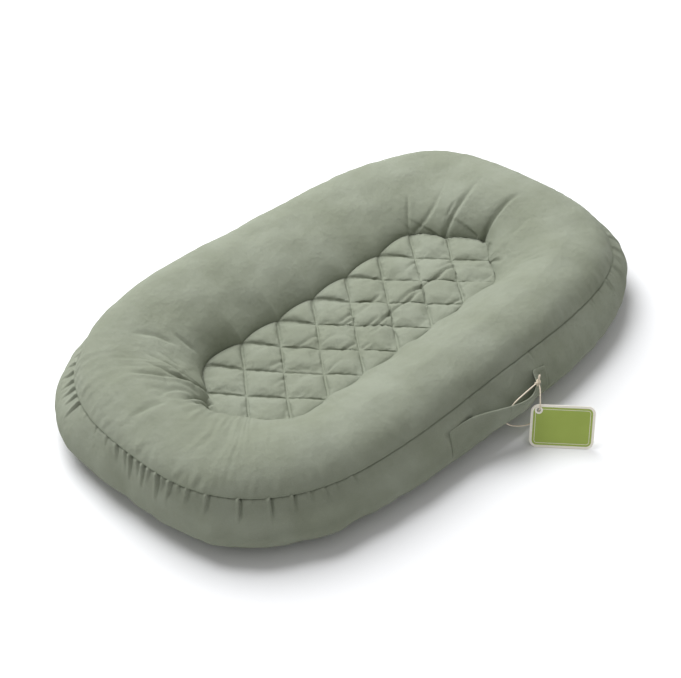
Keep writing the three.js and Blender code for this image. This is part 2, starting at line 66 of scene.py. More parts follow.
def length_along(route):
    """Distance from a route's start to each of its points."""
    return np.concatenate([[0], np.cumsum(np.linalg.norm(np.diff(route, axis=0), axis=1))])


outline_turns = np.linspace(0, math.pi / 2, OUTLINE_STEPS + 1)
quarter = np.stack([
    LENGTH / 2 * np.cos(outline_turns).clip(0) ** (2 / OUTLINE_POWER),
    WIDTH / 2 * np.sin(outline_turns) ** (2 / OUTLINE_POWER),
], axis=1)
quarter_along = length_along(quarter)
QUARTER_LENGTH = quarter_along[-1]
ROUND = 4 * QUARTER_LENGTH


def outline_at(quadrant, along):
    """Points of the widest line and its outward directions, by distance from the quadrant's end."""
    x = np.interp(along, quarter_along, quarter[:, 0]) * np.where((quadrant == 1) | (quadrant == 2), -1, 1)
    y = np.interp(along, quarter_along, quarter[:, 1]) * np.where(quadrant >= 2, -1, 1)
    outward = np.stack([
        np.sign(x) * (np.abs(x) * 2 / LENGTH) ** (OUTLINE_POWER - 1) * 2 / LENGTH,
        np.sign(y) * (np.abs(y) * 2 / WIDTH) ** (OUTLINE_POWER - 1) * 2 / WIDTH,
    ], axis=-1)
    return np.stack([x, y], axis=-1), outward / np.linalg.norm(outward, axis=-1, keepdims=True)


def round_outline(count):
    """The widest line cut into equal steps, counterclockwise from its +X end, and the distance round it."""
    distance = np.arange(count) * ROUND / count
    quadrant = (distance // QUARTER_LENGTH).astype(int)
    part = distance - quadrant * QUARTER_LENGTH
    return *outline_at(quadrant, np.where(quadrant % 2 == 0, part, QUARTER_LENGTH - part)), distance


def by_distance(table, distance):
    """A value that changes round the oval, from a table of distances and values."""
    return np.interp(distance, *zip(*table), period=ROUND)


def under_section(turn):
    """Inset and height round the underside of the rim: the floor at -90 degrees, the widest line at 0."""
    return BASE_INSET * (1 - np.cos(turn)), BULGE_HEIGHT * (1 + np.sin(turn))


def skin(outer, outward, section):
    """Rings of points round the oval, from each ray's insets from the widest line and heights."""
    flat = outer[None] - outward[None] * section[..., :1]
    return np.concatenate([flat, np.broadcast_to(section[..., 1:], flat.shape[:2] + (1,))], axis=2)


def ring_faces(rings, columns, first=0):
    """Quads between closed rings of points that are numbered ring by ring."""
    row, column = np.meshgrid(np.arange(rings - 1), np.arange(columns), indexing="ij")
    beside = (column + 1) % columns
    return first + np.stack([
        row * columns + column, row * columns + beside,
        (row + 1) * columns + beside, (row + 1) * columns + column,
    ], axis=-1).reshape(-1, 4)


def add_mesh(name, points, faces, cut=None):
    """A smooth mesh object. cut is each corner's place on the flat cloth, in metres."""
    mesh = bpy.data.meshes.new(name)
    mesh.from_pydata(np.asarray(points).reshape(-1, 3).tolist(), [], [list(map(int, f)) for f in faces])
    mesh.shade_smooth()
    if cut is not None:
        mesh.uv_layers.new(name="cut").data.foreach_set("uv", np.asarray(cut, np.float32).ravel())
    obj = bpy.data.objects.new(name, mesh)
    bpy.context.scene.collection.objects.link(obj)
    return obj


class Socket:
    """A socket of a material. Operators on it add Math nodes, and node adds any other."""

    def __init__(self, tree, output=None):
        self.tree, self.output = tree, output

    def fill(self, made, inputs):
        """Links or sets the inputs of a node that is already there, such as the material's shader."""
        for name, value in inputs.items():
            if isinstance(value, Socket):
                self.tree.links.new(value.output, made.inputs[name])
            else:
                made.inputs[name].default_value = value

    def node(self, kind, settings, inputs, out=0):
        """A new node with its settings, which are set first, and its inputs. out numbers its output."""
        made = self.tree.nodes.new("ShaderNode" + kind)
        for name, value in settings.items():
            if name == "stops":
                for k, (place, colour) in enumerate(value):
                    stops = made.color_ramp.elements
                    stop = stops[k] if k < 2 else stops.new(place)
                    stop.position, stop.color = place, colour
            else:
                setattr(made, name, value)
        self.fill(made, inputs)
        return Socket(self.tree, made.outputs[out])

    def maths(self, operation, a, b=0.0):
        return self.node("Math", {"operation": operation}, {0: a, 1: b})

    def __add__(self, other):
        return self.maths("ADD", self, other)

    def __sub__(self, other):
        return self.maths("SUBTRACT", self, other)

    def __mul__(self, other):
        return self.maths("MULTIPLY", self, other)

    def __radd__(self, other):
        return self.maths("ADD", other, self)

    def __rsub__(self, other):
        return self.maths("SUBTRACT", other, self)

    def __rmul__(self, other):
        return self.maths("MULTIPLY", other, self)


def tone(red, green, blue):
    """A colour given as it looks on a screen, from 0 to 255."""
    parts = [c / 255 for c in (red, green, blue)]
    return (*[c / 12.92 if c < 0.04045 else ((c + 0.055) / 1.055) ** 2.4 for c in parts], 1.0)


def new_material(name):
    """A new material: itself, a socket to start its nodes from, and its shader."""
    material = bpy.data.materials.new(name)
    material.use_nodes = True
    tree = material.node_tree
    return material, Socket(tree), next(n for n in tree.nodes if n.type == "BSDF_PRINCIPLED")


def percale(name, light, dark):
    """Plain woven cotton: crossing threads, slubs and a soft unevenness in its dye."""
    material, start, shader = new_material(name)
    flat = start.node("UVMap", {"uv_map": "cut"}, {})
    body = start.node("TexCoord", {}, {}, out=3)
    warp, weft = (
        start.node("TexWave", {"bands_direction": way}, {
            "Vector": flat, "Scale": WEAVE_SCALE, "Distortion": 0.6, "Detail": 1.0, "Detail Scale": 0.4})
        for way in "XY")
    slub, crumple, dye = (
        start.node("TexNoise", {}, {"Vector": place, "Scale": scale, "Detail": detail, "Roughness": rough})
        for place, scale, detail, rough in (
            (flat, SLUB_SCALE, 3.0, 0.6), (body, CRUMPLE_SCALE, 4.0, 0.5), (body, DYE_SCALE, 5.0, 0.6)))
    mask = dye * 0.6 + slub * 0.4
    tones = start.node("ValToRGB", {"stops": [(0.40, dark), (0.60, light)]}, {"Fac": mask})
    weave = start.node("Bump", {}, {
        "Strength": 0.6, "Distance": 0.0004, "Height": warp * weft + slub * 0.6})
    soft = start.node("Bump", {}, {
        "Strength": 0.6, "Distance": 0.0018, "Height": crumple, "Normal": weave})
    start.fill(shader, {
        "Base Color": tones, "Normal": soft, "Roughness": 0.84 + slub * 0.12,
        "Sheen Weight": 0.25, "Sheen Roughness": 0.5, "Sheen Tint": light, "Specular IOR Level": 0.25})
    return material


sage_cotton = percale("sage_cotton", tone(143, 148, 132), tone(130, 135, 117))

outer, outward, distance = round_outline(ROUND_STEPS)
drawn_in = np.stack([by_distance(DRAWN_IN, distance), np.zeros(ROUND_STEPS)], axis=1)
lower_seam_turn = math.asin(LOWER_SEAM_HEIGHT / BULGE_HEIGHT - 1)
turn_up = np.linspace(lower_seam_turn, -math.pi / 2, TURN_UP_STEPS + 1)
base_section = np.stack(under_section(turn_up), axis=-1)
base_section = np.concatenate([base_section[:1] + [TURNED_IN, 0], base_section])
base_rings = skin(outer, outward, base_section[:, None] + drawn_in)
floor_shares = np.linspace(1, 0, FLOOR_STEPS + 1)[1:-1]
base_rings = np.concatenate([base_rings, np.stack([base_rings[-1] * [s, s, 1] for s in floor_shares])])
base_points = np.concatenate([base_rings.reshape(-1, 3), [[0, 0, 0]]])
base_faces = ring_faces(len(base_rings), ROUND_STEPS)[:, ::-1].tolist()
last_ring, middle_point = (len(base_rings) - 1) * ROUND_STEPS, len(base_points) - 1
for k in range(ROUND_STEPS):
    base_faces.append([last_ring + (k + 1) % ROUND_STEPS, last_ring + k, middle_point])
base_cut = np.concatenate([base_points[f, :2] for f in base_faces])
base_cloth = add_mesh("base_cloth_panel", base_points, base_faces, base_cut)
base_cloth.data.materials.append(sage_cotton)
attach(base_cloth, "root")
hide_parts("base_cloth")


# Side band: one strip of the same cotton round the whole rim, bulged by the stuffing. The seams
# gather it, so it stands in small pleats under the upper seam, most of all round the ends.
UPPER_SEAM_HEIGHT, UPPER_SEAM_INSET = 0.0715, 0.024
SEAM_GAP, SEAM_HOLD, SEAM_SINK = 0.0003, 0.0015, 0.0008
BAND_RINGS, UNDER_RINGS, BAND_START = 26, 20, 0.016

# How steeply the band runs up to its seam, and how far from it: usually, at the -X corner, where it
# hangs upright, and where it is full
BAND_SLOPES, BAND_REACHES = [math.radians(turn) for turn in (56, 90, 20)], (0.014, 0.019, 0.022)

# Where the stuffing fills the band right up to its seam: most at the +X end, and from there less
# and less along the far side
FULL_SHARES = [(1.78, 0.0), (1.90, 0.8), (1.96, 1.0), (2.03, 1.0), (2.07, 0.4)]

# How far the upper seam wanders in from its mean line, by the distance round the oval, and how much
# of that it rises
SEAM_WANDER = [
    (0.0, -0.005), (0.15, -0.006), (0.52, -0.006), (0.76, -0.004), (0.84, -0.002), (0.89, 0.003),
    (0.96, 0.002), (1.08, 0.0005), (1.14, 0.0025), (1.20, 0.005), (1.25, 0.0035), (1.32, 0.0005),
    (1.49, 0.003), (1.59, 0.0045), (1.67, 0.004), (1.74, 0.002), (1.81, -0.001), (1.87, -0.004),
    (1.95, -0.005),
]
SEAM_RISE_SHARE = 0.6
SMOOTHING = np.linspace(-0.04, 0.04, 9)      # the distances that a wandering value is averaged over

# Near the -X corner the seam stands further out and higher, so the band hangs upright under it
CORNER_SEAM_SHARES = [(0.92, 0.0), (1.01, 1.0), (1.13, 1.0), (1.24, 0.0)]
CORNER_SEAM_OUT, CORNER_SEAM_UP = 0.008, 0.0065

# Pleats seen under the upper seam: distance round the oval, length, depth and lean
PLEATS = [
    (0.806, 0.018, 0.0014, 0.0), (0.826, 0.020, 0.0018, -0.2), (0.845, 0.024, 0.0026, -0.3),
    (0.864, 0.030, 0.0034, -0.35), (0.883, 0.028, 0.0032, -0.35), (0.900, 0.030, 0.0034, -0.35),
    (0.916, 0.028, 0.0030, -0.3), (0.933, 0.032, 0.0036, -0.3), (0.958, 0.012, 0.0012, 0.2),
    (0.985, 0.014, 0.0014, 0.2), (1.008, 0.018, 0.0018, 0.2), (1.026, 0.024, 0.0026, 0.3),
    (1.040, 0.026, 0.0020, 0.3), (1.050, 0.032, 0.0034, 0.2), (1.062, 0.024, 0.0022, 0.2),
    (1.072, 0.032, 0.0034, 0.1), (1.082, 0.024, 0.0020, 0.0), (1.094, 0.034, 0.0040, 0.1),
    (1.104, 0.022, 0.0020, -0.1), (1.114, 0.030, 0.0036, -0.1), (1.126, 0.020, 0.0018, -0.1),
    (1.139, 0.026, 0.0032, -0.2), (1.151, 0.014, 0.0012, -0.1), (1.164, 0.030, 0.0034, -0.1),
    (1.176, 0.010, 0.0011, 0.0), (1.187, 0.010, 0.0010, 0.1), (1.204, 0.032, 0.0042, 0.0),
    (1.220, 0.012, 0.0011, 0.0), (1.243, 0.032, 0.0040, 0.0), (1.256, 0.010, 0.0010, 0.0),
    (1.272, 0.026, 0.0034, 0.0), (1.293, 0.020, 0.0020, 0.0), (1.311, 0.024, 0.0020, 0.1),
    (1.326, 0.016, 0.0014, 0.1), (1.348, 0.020, 0.0020, 0.2), (1.368, 0.012, 0.0010, 0.2),
    (1.424, 0.016, 0.0010, 0.3), (1.530, 0.018, 0.0010, 0.3), (1.548, 0.014, 0.0008, 0.4),
    (1.640, 0.022, 0.0011, 0.2), (1.715, 0.016, 0.0010, -0.1), (1.780, 0.022, 0.0016, -0.1),
    (1.802, 0.016, 0.0014, 0.0), (1.830, 0.032, 0.0042, 0.0), (1.850, 0.018, 0.0018, 0.0),
    (1.868, 0.036, 0.0050, 0.0), (1.890, 0.026, 0.0032, 0.0), (1.913, 0.034, 0.0050, 0.0),
    (1.926, 0.020, 0.0022, 0.0), (1.940, 0.032, 0.0050, 0.0), (1.958, 0.022, 0.0030, 0.0),
]
PLEAT_WIDTH, PLEAT_RISE, PLEAT_DIP, PLEAT_FADE, PLEAT_HELD = 0.0026, 0.9, 1.4, 1.2, 0.35
DIP_PLACE, DIP_WIDTH = 0.3, 0.7              # shares of the pleat's width

# Ranges of the same four for the shallow pleats out of the photo's sight and over the lower seam
HIDDEN_PLEATS = 52
HIDDEN_RANGES = [(1.95, 2.89), (0.014, 0.030), (0.0005, 0.0010), (-0.3, 0.3)]
LOW_PLEATS, LOW_WIDTH = 150, 0.0042
LOW_RANGES = [(0, ROUND), (0.014, 0.034), (0.0008, 0.0024), (-0.5, 0.5)]

# The band's soft unevenness, in rows of height, size and seed, and its folds at the -X corner. Both
# run long up and down the band.
BAND_WAVES, BAND_STRETCH = [(0.0010, 0.07, 3), (0.0005, 0.022, 4)], [1, 1, 0.3]
WAVE_SIZES, WAVE_SHARE = (0.7, 1.5), 0.7     # waves vary in size by these shares, and peak near one
CORNER_FOLD_HEIGHT, CORNER_FOLD_SIZE, CORNER_FOLD_STRETCH = 0.0016, 0.032, [1, 1, 0.25]

# Where the strap's sewn ends press the band in: axis, middle and half size of each end's patch
STRAP_ENDS = [[(0, -0.0610, 0.0200), (2, 0.0440, 0.0115)], [(0, 0.0800, 0.0060), (2, 0.0425, 0.0105)]]
STRAP_PRESS, STRAP_PRESS_REACH = 0.0019, 0.0020


def smoothed(table, distance):
    """A value from a table by distance, averaged over the distances close by."""
    return np.mean([by_distance(table, distance + step) for step in SMOOTHING], axis=0)


def upper_seam(distance):
    """The upper seam's inset and height at each distance round the oval."""
    wander, corner = smoothed(SEAM_WANDER, distance), smoothed(CORNER_SEAM_SHARES, distance)
    return (UPPER_SEAM_INSET + wander - CORNER_SEAM_OUT * corner,
            UPPER_SEAM_HEIGHT + SEAM_RISE_SHARE * wander + CORNER_SEAM_UP * corner)


def bezier(turns, *handles):
    """Points of one smooth curve for each ray, from the curve's four handles."""
    t = turns[:, None, None]
    shares = ((1 - t) ** 3, 3 * t * (1 - t) ** 2, 3 * t ** 2 * (1 - t), t ** 3)
    handles = [np.stack(np.broadcast_arrays(*handle), axis=-1) for handle in handles]
    return sum(share * handle for share, handle in zip(shares, handles))


def band_cut(face):
    """Each face's corners on the flat strip, which ends where it is joined."""
    row, column = face // ROUND_STEPS, face % ROUND_STEPS
    along = np.where((column == 0) & (column.max(axis=1, keepdims=True) > 1), ROUND_STEPS, column)
    return np.stack([along * ROUND / ROUND_STEPS, -band_drop[row]], axis=-1)


def points_of(obj):
    flat = np.empty(len(obj.data.vertices) * 3)
    obj.data.vertices.foreach_get("co", flat)
    return flat.reshape(-1, 3)


def normals_of(obj):
    flat = np.empty(len(obj.data.vertices) * 3, np.float32)
    obj.data.vertex_normals.foreach_get("vector", flat)
    return flat.reshape(-1, 3).astype(float)


def place_points(obj, points):
    obj.data.vertices.foreach_set("co", points.ravel())
    obj.data.update()


def swell(obj, height):
    """Moves each point of obj by height along its normal."""
    place_points(obj, points_of(obj) + normals_of(obj) * height[:, None])


def waves(points, size, seed, count=14):
    """Soft unevenness about one high, from waves of about that size in every direction."""
    draw = np.random.default_rng(seed)
    total = np.zeros(len(points))
    for _ in range(count):
        direction = draw.normal(size=3)
        direction *= 2 * math.pi / (np.linalg.norm(direction) * size * draw.uniform(*WAVE_SIZES))
        total += np.sin(points @ direction + draw.uniform(0, 2 * math.pi))
    return total * math.sqrt(2 / count) * WAVE_SHARE


def unevenness(points, rows):
    """Waves of several sizes, from rows of their height, size and seed."""
    return sum(height * waves(points, size, seed) for height, size, seed in rows)


def pleat(across, down, length, depth, width=PLEAT_WIDTH):
    """Height of one pleat: a rounded fold with a sharp dip beside it, held flat at the seam itself."""
    fold = PLEAT_RISE * np.exp(-((across + width) / width) ** 2)
    dip = PLEAT_DIP * np.exp(-((across - width * DIP_PLACE) / (width * DIP_WIDTH)) ** 2)
    free = PLEAT_HELD + (1 - PLEAT_HELD) * (down / SEAM_HOLD).clip(0, 1)
    return depth * (fold - dip) * ((1 - (down / length).clip(0, 1)) ** PLEAT_FADE * free)


def round_gap(a, b):
    """The shortest way round the oval from b to a."""
    return (a - b + ROUND / 2) % ROUND - ROUND / 2


seam_inset, seam_height = upper_seam(distance)
widest = drawn_in[:, 0]
at_corner = (widest / widest.max()).clip(0)
full = by_distance(FULL_SHARES, distance)
band_slope, band_reach = (
    usual + (corner - usual) * at_corner + (filled - usual) * full
    for usual, corner, filled in (BAND_SLOPES, BAND_REACHES))
band_section = bezier(
    np.linspace(1, 0, BAND_RINGS), (widest, BULGE_HEIGHT), (widest, BULGE_HEIGHT + BAND_START),
    (seam_inset - band_reach * np.cos(band_slope), seam_height - band_reach * np.sin(band_slope)),
    (seam_inset, seam_height))
under = np.stack(under_section(np.linspace(0, lower_seam_turn, UNDER_RINGS + 1)[1:]), axis=-1)
under = under[:, None] + drawn_in
band_section = np.concatenate([
    band_section[:1] + [TURNED_IN, -SEAM_GAP], band_section, under, under[-1:] + [TURNED_IN, 0]])
band_rings = skin(outer, outward, band_section)
band_drop = length_along(band_rings[:, 0])
band_faces = ring_faces(len(band_rings), ROUND_STEPS)[:, ::-1]
side_band = add_mesh("side_band_strip", band_rings, band_faces, band_cut(band_faces).reshape(-1, 2))

# The pleats, the soft unevenness, the folds at the -X corner and the strap's press, all as height
# along the band's normals
draw = np.random.default_rng(7)
pleats = list(PLEATS)
for _ in range(HIDDEN_PLEATS):
    where, length, depth, lean = (draw.uniform(*span) for span in HIDDEN_RANGES)
    where %= ROUND
    ended = 0.5 + 0.5 * math.cos(4 * math.pi * where / ROUND)      # 1 at both ends, 0 halfway between
    pleats.append((where, length, depth * (1 + ended), lean))
along = np.broadcast_to(distance, (len(band_rings), ROUND_STEPS))
down = np.broadcast_to(band_drop[:, None], along.shape)
up = band_drop[-1] - down
band_lift = np.zeros(along.shape)
for where, length, depth, lean in pleats:
    band_lift += pleat(round_gap(along, where) - lean * down, down, length, depth)
for _ in range(LOW_PLEATS):
    where, length, depth, lean = (draw.uniform(*span) for span in LOW_RANGES)
    band_lift += pleat(round_gap(along, where) - lean * up, up, length, depth, LOW_WIDTH)
between_seams = np.sin(math.pi * down / band_drop[-1]).ravel()
band_points = band_rings.reshape(-1, 3)
band_lift = band_lift.ravel() + between_seams * unevenness(band_points * BAND_STRETCH, BAND_WAVES)
corner_folds = CORNER_FOLD_HEIGHT * waves(band_points * CORNER_FOLD_STRETCH, CORNER_FOLD_SIZE, 8)
band_lift += np.tile(at_corner, len(band_rings)) * between_seams * corner_folds
for end in STRAP_ENDS:
    apart = np.hypot(*[(np.abs(band_points[:, axis] - middle) - half).clip(0) for axis, middle, half in end])
    press = STRAP_PRESS * np.exp(-(apart / STRAP_PRESS_REACH) ** 2)
    band_lift -= np.where(band_points[:, 1] < 0, press, 0)
band_lift[ROUND_STEPS:2 * ROUND_STEPS] -= SEAM_SINK
swell(side_band, band_lift)
side_band.data.materials.append(sage_cotton)
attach(side_band, "root")
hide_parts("side_band")


# Top cloth: one piece of cotton over the rim and the quilted well. Straight stitch lines hold it
# down on the wadding in diamonds, and it folds where it runs down from the rim into the well.
CREST_HEIGHT, CREST_INSET = 0.102, 0.080
FAR_CREST_DROP, FAR_CREST_SHIFT = 0.0012, 0.022
DOME_START_SHARE, DOME_RINGS, WALL_RINGS = 0.42, 26, 54
WALL_POWER_NEAR, WALL_POWER_FAR, WALL_POWER_END = 1.42, 1.62, 1.66

# The dome's slope at the seam and the flat share of its top: on the near side, and on the far side,
# which faces FAR_WAY
DOME_SLOPES, DOME_TOP_SHARES = [math.radians(turn) for turn in (60, 64)], (0.74, 0.78)
FAR_WAY, FAR_SPREAD = (0.72, 0.69), 0.8

# How far the crest stands above its mean height, by the distance round the oval
CREST_WANDER = [
    (0.04, 0.001), (0.10, -0.004), (0.18, -0.008), (0.30, -0.010), (0.46, -0.009), (0.55, -0.002),
    (0.64, 0.006), (0.70, 0.009), (0.78, 0.010), (0.86, 0.006), (0.94, 0.001), (1.30, 0.0),
    (1.88, 0.0), (1.96, 0.002),
]
DIAMOND_LENGTH, DIAMOND_WIDTH, QUILT_LINES, QUILT_REACH = 0.0604, 0.072, 8, 2
DIAMOND_SPAN = math.hypot(DIAMOND_LENGTH, DIAMOND_WIDTH)      # twice the side of a diamond
QUILT_HEIGHT, QUILT_END_RISE, QUILT_SIDE_RISE = 0.040, 0.007, 0.003
PUFF_HEIGHT, PUFF_POWER, HALF_PUFF_POWER = 0.0054, 3.2, 0.55
HALF_PEAK = 27                               # brings the middle of a half diamond to one
GROOVE_DEPTH, GROOVE_WIDTH = 0.0015, 0.0014
SIDE_SCALLOP, END_SCALLOP = 0.005, 0.003
SKEW, SKEW_REACH = (-0.003, -0.008), 0.04    # the quilting's +X corner is sewn a little askew
TOP_WAVES = [(0.0014, 0.10, 1), (0.0006, 0.035, 2)]
STREAK_HEIGHT, STREAK_LENGTH, STREAK_SIZE, STREAK_WAVES = 0.0005, 0.045, 0.017, 24
STREAK_SHARE, STREAK_TURN = 0.55, 0.45       # streaks are faint at the +X end and strong at the -X end
GATHER_HEIGHT, GATHER_SIZE, GATHER_PLACE, GATHER_REACH = 0.0005, 0.011, 0.10, 0.07
PRESSURE, SPARE_CLOTH, RELAX_FRAMES, RELAX_REACH = 2.5, 0.02, 14, 0.004

# The quilting's grid has its lines along the two ways of the stitches. A diamond's side has SIDE
# steps, which gather at the stitch lines by CROWDING.
THIRD, CROWDING = 10, 0.6
SIDE = 3 * THIRD
GRID, REACH = QUILT_LINES * SIDE, QUILT_REACH * SIDE
ON_LINE = 0.01                               # steps from a stitch line that still count as on it


def by_stitches(count):
    """Grid numbers moved towards the nearest stitch line, where the cloth bends most."""
    return count - CROWDING * SIDE * np.sin(2 * math.pi * count / SIDE) / (2 * math.pi)


def quilt_place(p, q):
    """Where the quilting's grid lies, by its two sets of lines, with its scalloped border."""
    p, q = by_stitches(p), by_stitches(q)
    x = DIAMOND_LENGTH / 2 * ((p + q) / SIDE - QUILT_LINES)
    y = DIAMOND_WIDTH / 2 * (q - p) / SIDE
    half_length, half_width = DIAMOND_LENGTH * QUILT_LINES / 2, DIAMOND_WIDTH * QUILT_REACH / 2
    z = QUILT_HEIGHT + QUILT_END_RISE * (x / half_length) ** 2 + QUILT_SIDE_RISE * (y / half_width) ** 2
    along = ((p + q) / 2 % SIDE) / SIDE
    near_side = ((np.abs(q - p) - (REACH - SIDE)) / SIDE).clip(0, 1) ** 2
    y = y + np.sign(q - p) * SIDE_SCALLOP * near_side * np.sin(math.pi * along)
    for count, other, sign in ((p, q, 1), (q, p, -1)):
        for side, near_end in ((1, (count - (GRID - SIDE)) / SIDE), (-1, (SIDE - count) / SIDE)):
            push = side * END_SCALLOP * near_end.clip(0, 1) ** 2 * np.sin(math.pi * (other % SIDE) / SIDE)
            x = x + push * DIAMOND_WIDTH / DIAMOND_SPAN
            y = y - push * sign * DIAMOND_LENGTH / DIAMOND_SPAN
    near_corner = np.exp(-((x - half_length) ** 2 + y ** 2) / SKEW_REACH ** 2)
    return np.stack([x + SKEW[0] * near_corner, y + SKEW[1] * near_corner, z], axis=-1)


def quilt_puff(p, q):
    """How far each diamond, and each half diamond along the sides, swells between its stitch lines."""
    a, b = by_stitches(p % SIDE) / SIDE, by_stitches(q % SIDE) / SIDE
    whole = (1 - np.abs(2 * a - 1) ** PUFF_POWER) * (1 - np.abs(2 * b - 1) ** PUFF_POWER)
    upper = (HALF_PEAK * b * (a - b) * (1 - a)).clip(0) ** HALF_PUFF_POWER
    lower = (HALF_PEAK * a * (b - a) * (1 - b)).clip(0) ** HALF_PUFF_POWER
    offset = q // SIDE - p // SIDE
    half = np.where(offset == QUILT_REACH, upper, lower)
    return PUFF_HEIGHT * np.where(np.abs(offset) == QUILT_REACH, half, whole)


# The border runs round the well from its +X corner, with two rays of the rim to each step. A quarter
# of it has END_THIRDS along the end of the quilting and SIDE_THIRDS along its side.
END_THIRDS, SIDE_THIRDS = 3 * QUILT_REACH, 3 * (QUILT_LINES - QUILT_REACH) // 2
QUARTER_STEPS = (END_THIRDS + SIDE_THIRDS) * THIRD
BORDER_STEPS = 4 * QUARTER_STEPS
RAYS = 2 * BORDER_STEPS
steps = np.arange(RAYS) / 2
corners = np.cumsum([0, REACH, GRID - REACH, REACH, REACH, GRID - REACH, REACH])
ray_p = np.interp(steps, corners, [GRID, GRID - REACH, 0, 0, REACH, GRID, GRID])
ray_q = np.interp(steps, corners, [GRID, GRID, REACH, 0, 0, GRID - REACH, GRID])

# Each ray leaves the widest line square to it, and bends at the crest towards its border point. The
# rays of the quilting's end take END_SHARE of a quarter of the widest line. The slopes are the shares
# that a third of a diamond's side takes where each stretch starts and ends.
END_SHARE, END_SLOPES, SIDE_SLOPES = 0.52, (0.097, 0.066), (0.066, 0.047)


def eased(part, low, high, slopes, span):
    """A smooth rise from low to high as part goes from 0 to 1, by slopes for each step of the span."""
    square, cube = part ** 2, part ** 3
    return ((2 * cube - 3 * square + 1) * low + (cube - 2 * square + part) * span * slopes[0]
            + (3 * square - 2 * cube) * high + (cube - square) * span * slopes[1])


def softened(share):
    """A share from 0 to 1 that starts and ends gently."""
    return share ** 2 * (3 - 2 * share)


def between(pair, share):
    """From the first of two values to the second as the share goes from 0 to 1."""
    return pair[0] + (pair[1] - pair[0]) * share


ray_quadrant = (steps // QUARTER_STEPS).astype(int)
ray_step = steps % QUARTER_STEPS / THIRD
ray_step = np.where(ray_quadrant % 2 == 0, ray_step, END_THIRDS + SIDE_THIRDS - ray_step)
ray_share = np.where(
    ray_step <= END_THIRDS,
    eased(ray_step / END_THIRDS, 0, END_SHARE, END_SLOPES, END_THIRDS),
    eased((ray_step - END_THIRDS) / SIDE_THIRDS, END_SHARE, 1, SIDE_SLOPES, SIDE_THIRDS),
)
ray_outer, ray_outward = outline_at(ray_quadrant, ray_share * QUARTER_LENGTH)
ray_distance = np.where(ray_quadrant % 2 == 0, ray_share, 1 - ray_share) + ray_quadrant
ray_distance *= QUARTER_LENGTH
end_share, far_share = ray_outward[:, 0] ** 2, ray_outward[:, 1].clip(0) ** 2
crest_inset = CREST_INSET - FAR_CREST_SHIFT * far_share
crest_height = CREST_HEIGHT - FAR_CREST_DROP * far_share + smoothed(CREST_WANDER, ray_distance)
crest = ray_outer - ray_outward * crest_inset[:, None]
foot = quilt_place(ray_p, ray_q)

seam_inset, seam_height = upper_seam(ray_distance)
facing_far = softened(((ray_outward @ FAR_WAY) / FAR_SPREAD + 0.5).clip(0, 1))
dome_slope, top_share = (between(pair, facing_far) for pair in (DOME_SLOPES, DOME_TOP_SHARES))
dome_start = DOME_START_SHARE * (crest_height - seam_height) / np.sin(dome_slope)
dome_section = bezier(
    np.linspace(0, 1, DOME_RINGS), (seam_inset, seam_height),
    (seam_inset + dome_start * np.cos(dome_slope), seam_height + dome_start * np.sin(dome_slope)),
    (crest_inset - top_share * (crest_inset - seam_inset), crest_height),
    (crest_inset, crest_height))
dome_section = np.concatenate([dome_section[:1] + [TURNED_IN, SEAM_GAP], dome_section])
wall_power = (WALL_POWER_END * end_share + WALL_POWER_FAR * far_share
              + WALL_POWER_NEAR * (1 - end_share - far_share))
wall_turns = np.linspace(0, math.pi / 2, WALL_RINGS + 1)[1:-1, None]
wall_out = np.sin(wall_turns) ** (2 / wall_power)
wall_up = np.cos(wall_turns) ** (2 / wall_power)
wall = np.concatenate([
    crest[None] + (foot[None, :, :2] - crest[None]) * wall_out[..., None],
    (foot[None, :, 2] + (crest_height - foot[None, :, 2]) * wall_up)[..., None],
], axis=2)
rim = np.concatenate([skin(ray_outer, ray_outward, dome_section), wall])
rim_count = len(rim) * RAYS

# The quilting's points take their numbers after the rim's
number = -np.ones((GRID + 1, GRID + 1), int)
grid_p, grid_q = np.meshgrid(np.arange(GRID + 1), np.arange(GRID + 1), indexing="ij")
inside = np.abs(grid_q - grid_p) <= REACH
number[inside] = rim_count + np.arange(inside.sum())
quilt_p, quilt_q = grid_p[inside], grid_q[inside]
quilt = quilt_place(quilt_p, quilt_q)
quilt[:, 2] += quilt_puff(quilt_p, quilt_q)

top_faces = ring_faces(len(rim), RAYS).tolist()
border_number = number[ray_p[::2].round().astype(int), ray_q[::2].round().astype(int)]
last_ray = rim_count - RAYS
for k in range(BORDER_STEPS):
    after = (k + 1) % BORDER_STEPS
    top_faces.append([
        last_ray + 2 * k, last_ray + 2 * k + 1, last_ray + 2 * after, border_number[after], border_number[k]])
for p in range(GRID):
    for q in range(max(0, p - REACH), min(GRID, p + REACH + 1)):
        square = [number[p, q], number[p + 1, q], number[p + 1, q + 1], number[p, q + 1]]
        top_faces.append([c for c in square if c >= 0])
top_points = np.concatenate([rim.reshape(-1, 3), quilt])

# The flat cloth under each point: straight out from the border by the distance over the rim
rim_legs = np.linalg.norm(np.diff(np.concatenate([rim, foot[None]]), axis=0), axis=2)
rim_reach = np.cumsum(rim_legs[::-1], axis=0)[::-1]
cut_way = crest - foot[:, :2]
cut_way /= np.linalg.norm(cut_way, axis=1, keepdims=True)
rim_cut = foot[None, :, :2] + cut_way[None] * rim_reach[..., None]
top_cut = np.concatenate([rim_cut.reshape(-1, 2), quilt[:, :2]])
top_cloth = add_mesh(
    "top_cloth", top_points, top_faces, np.concatenate([top_cut[f] for f in top_faces]))

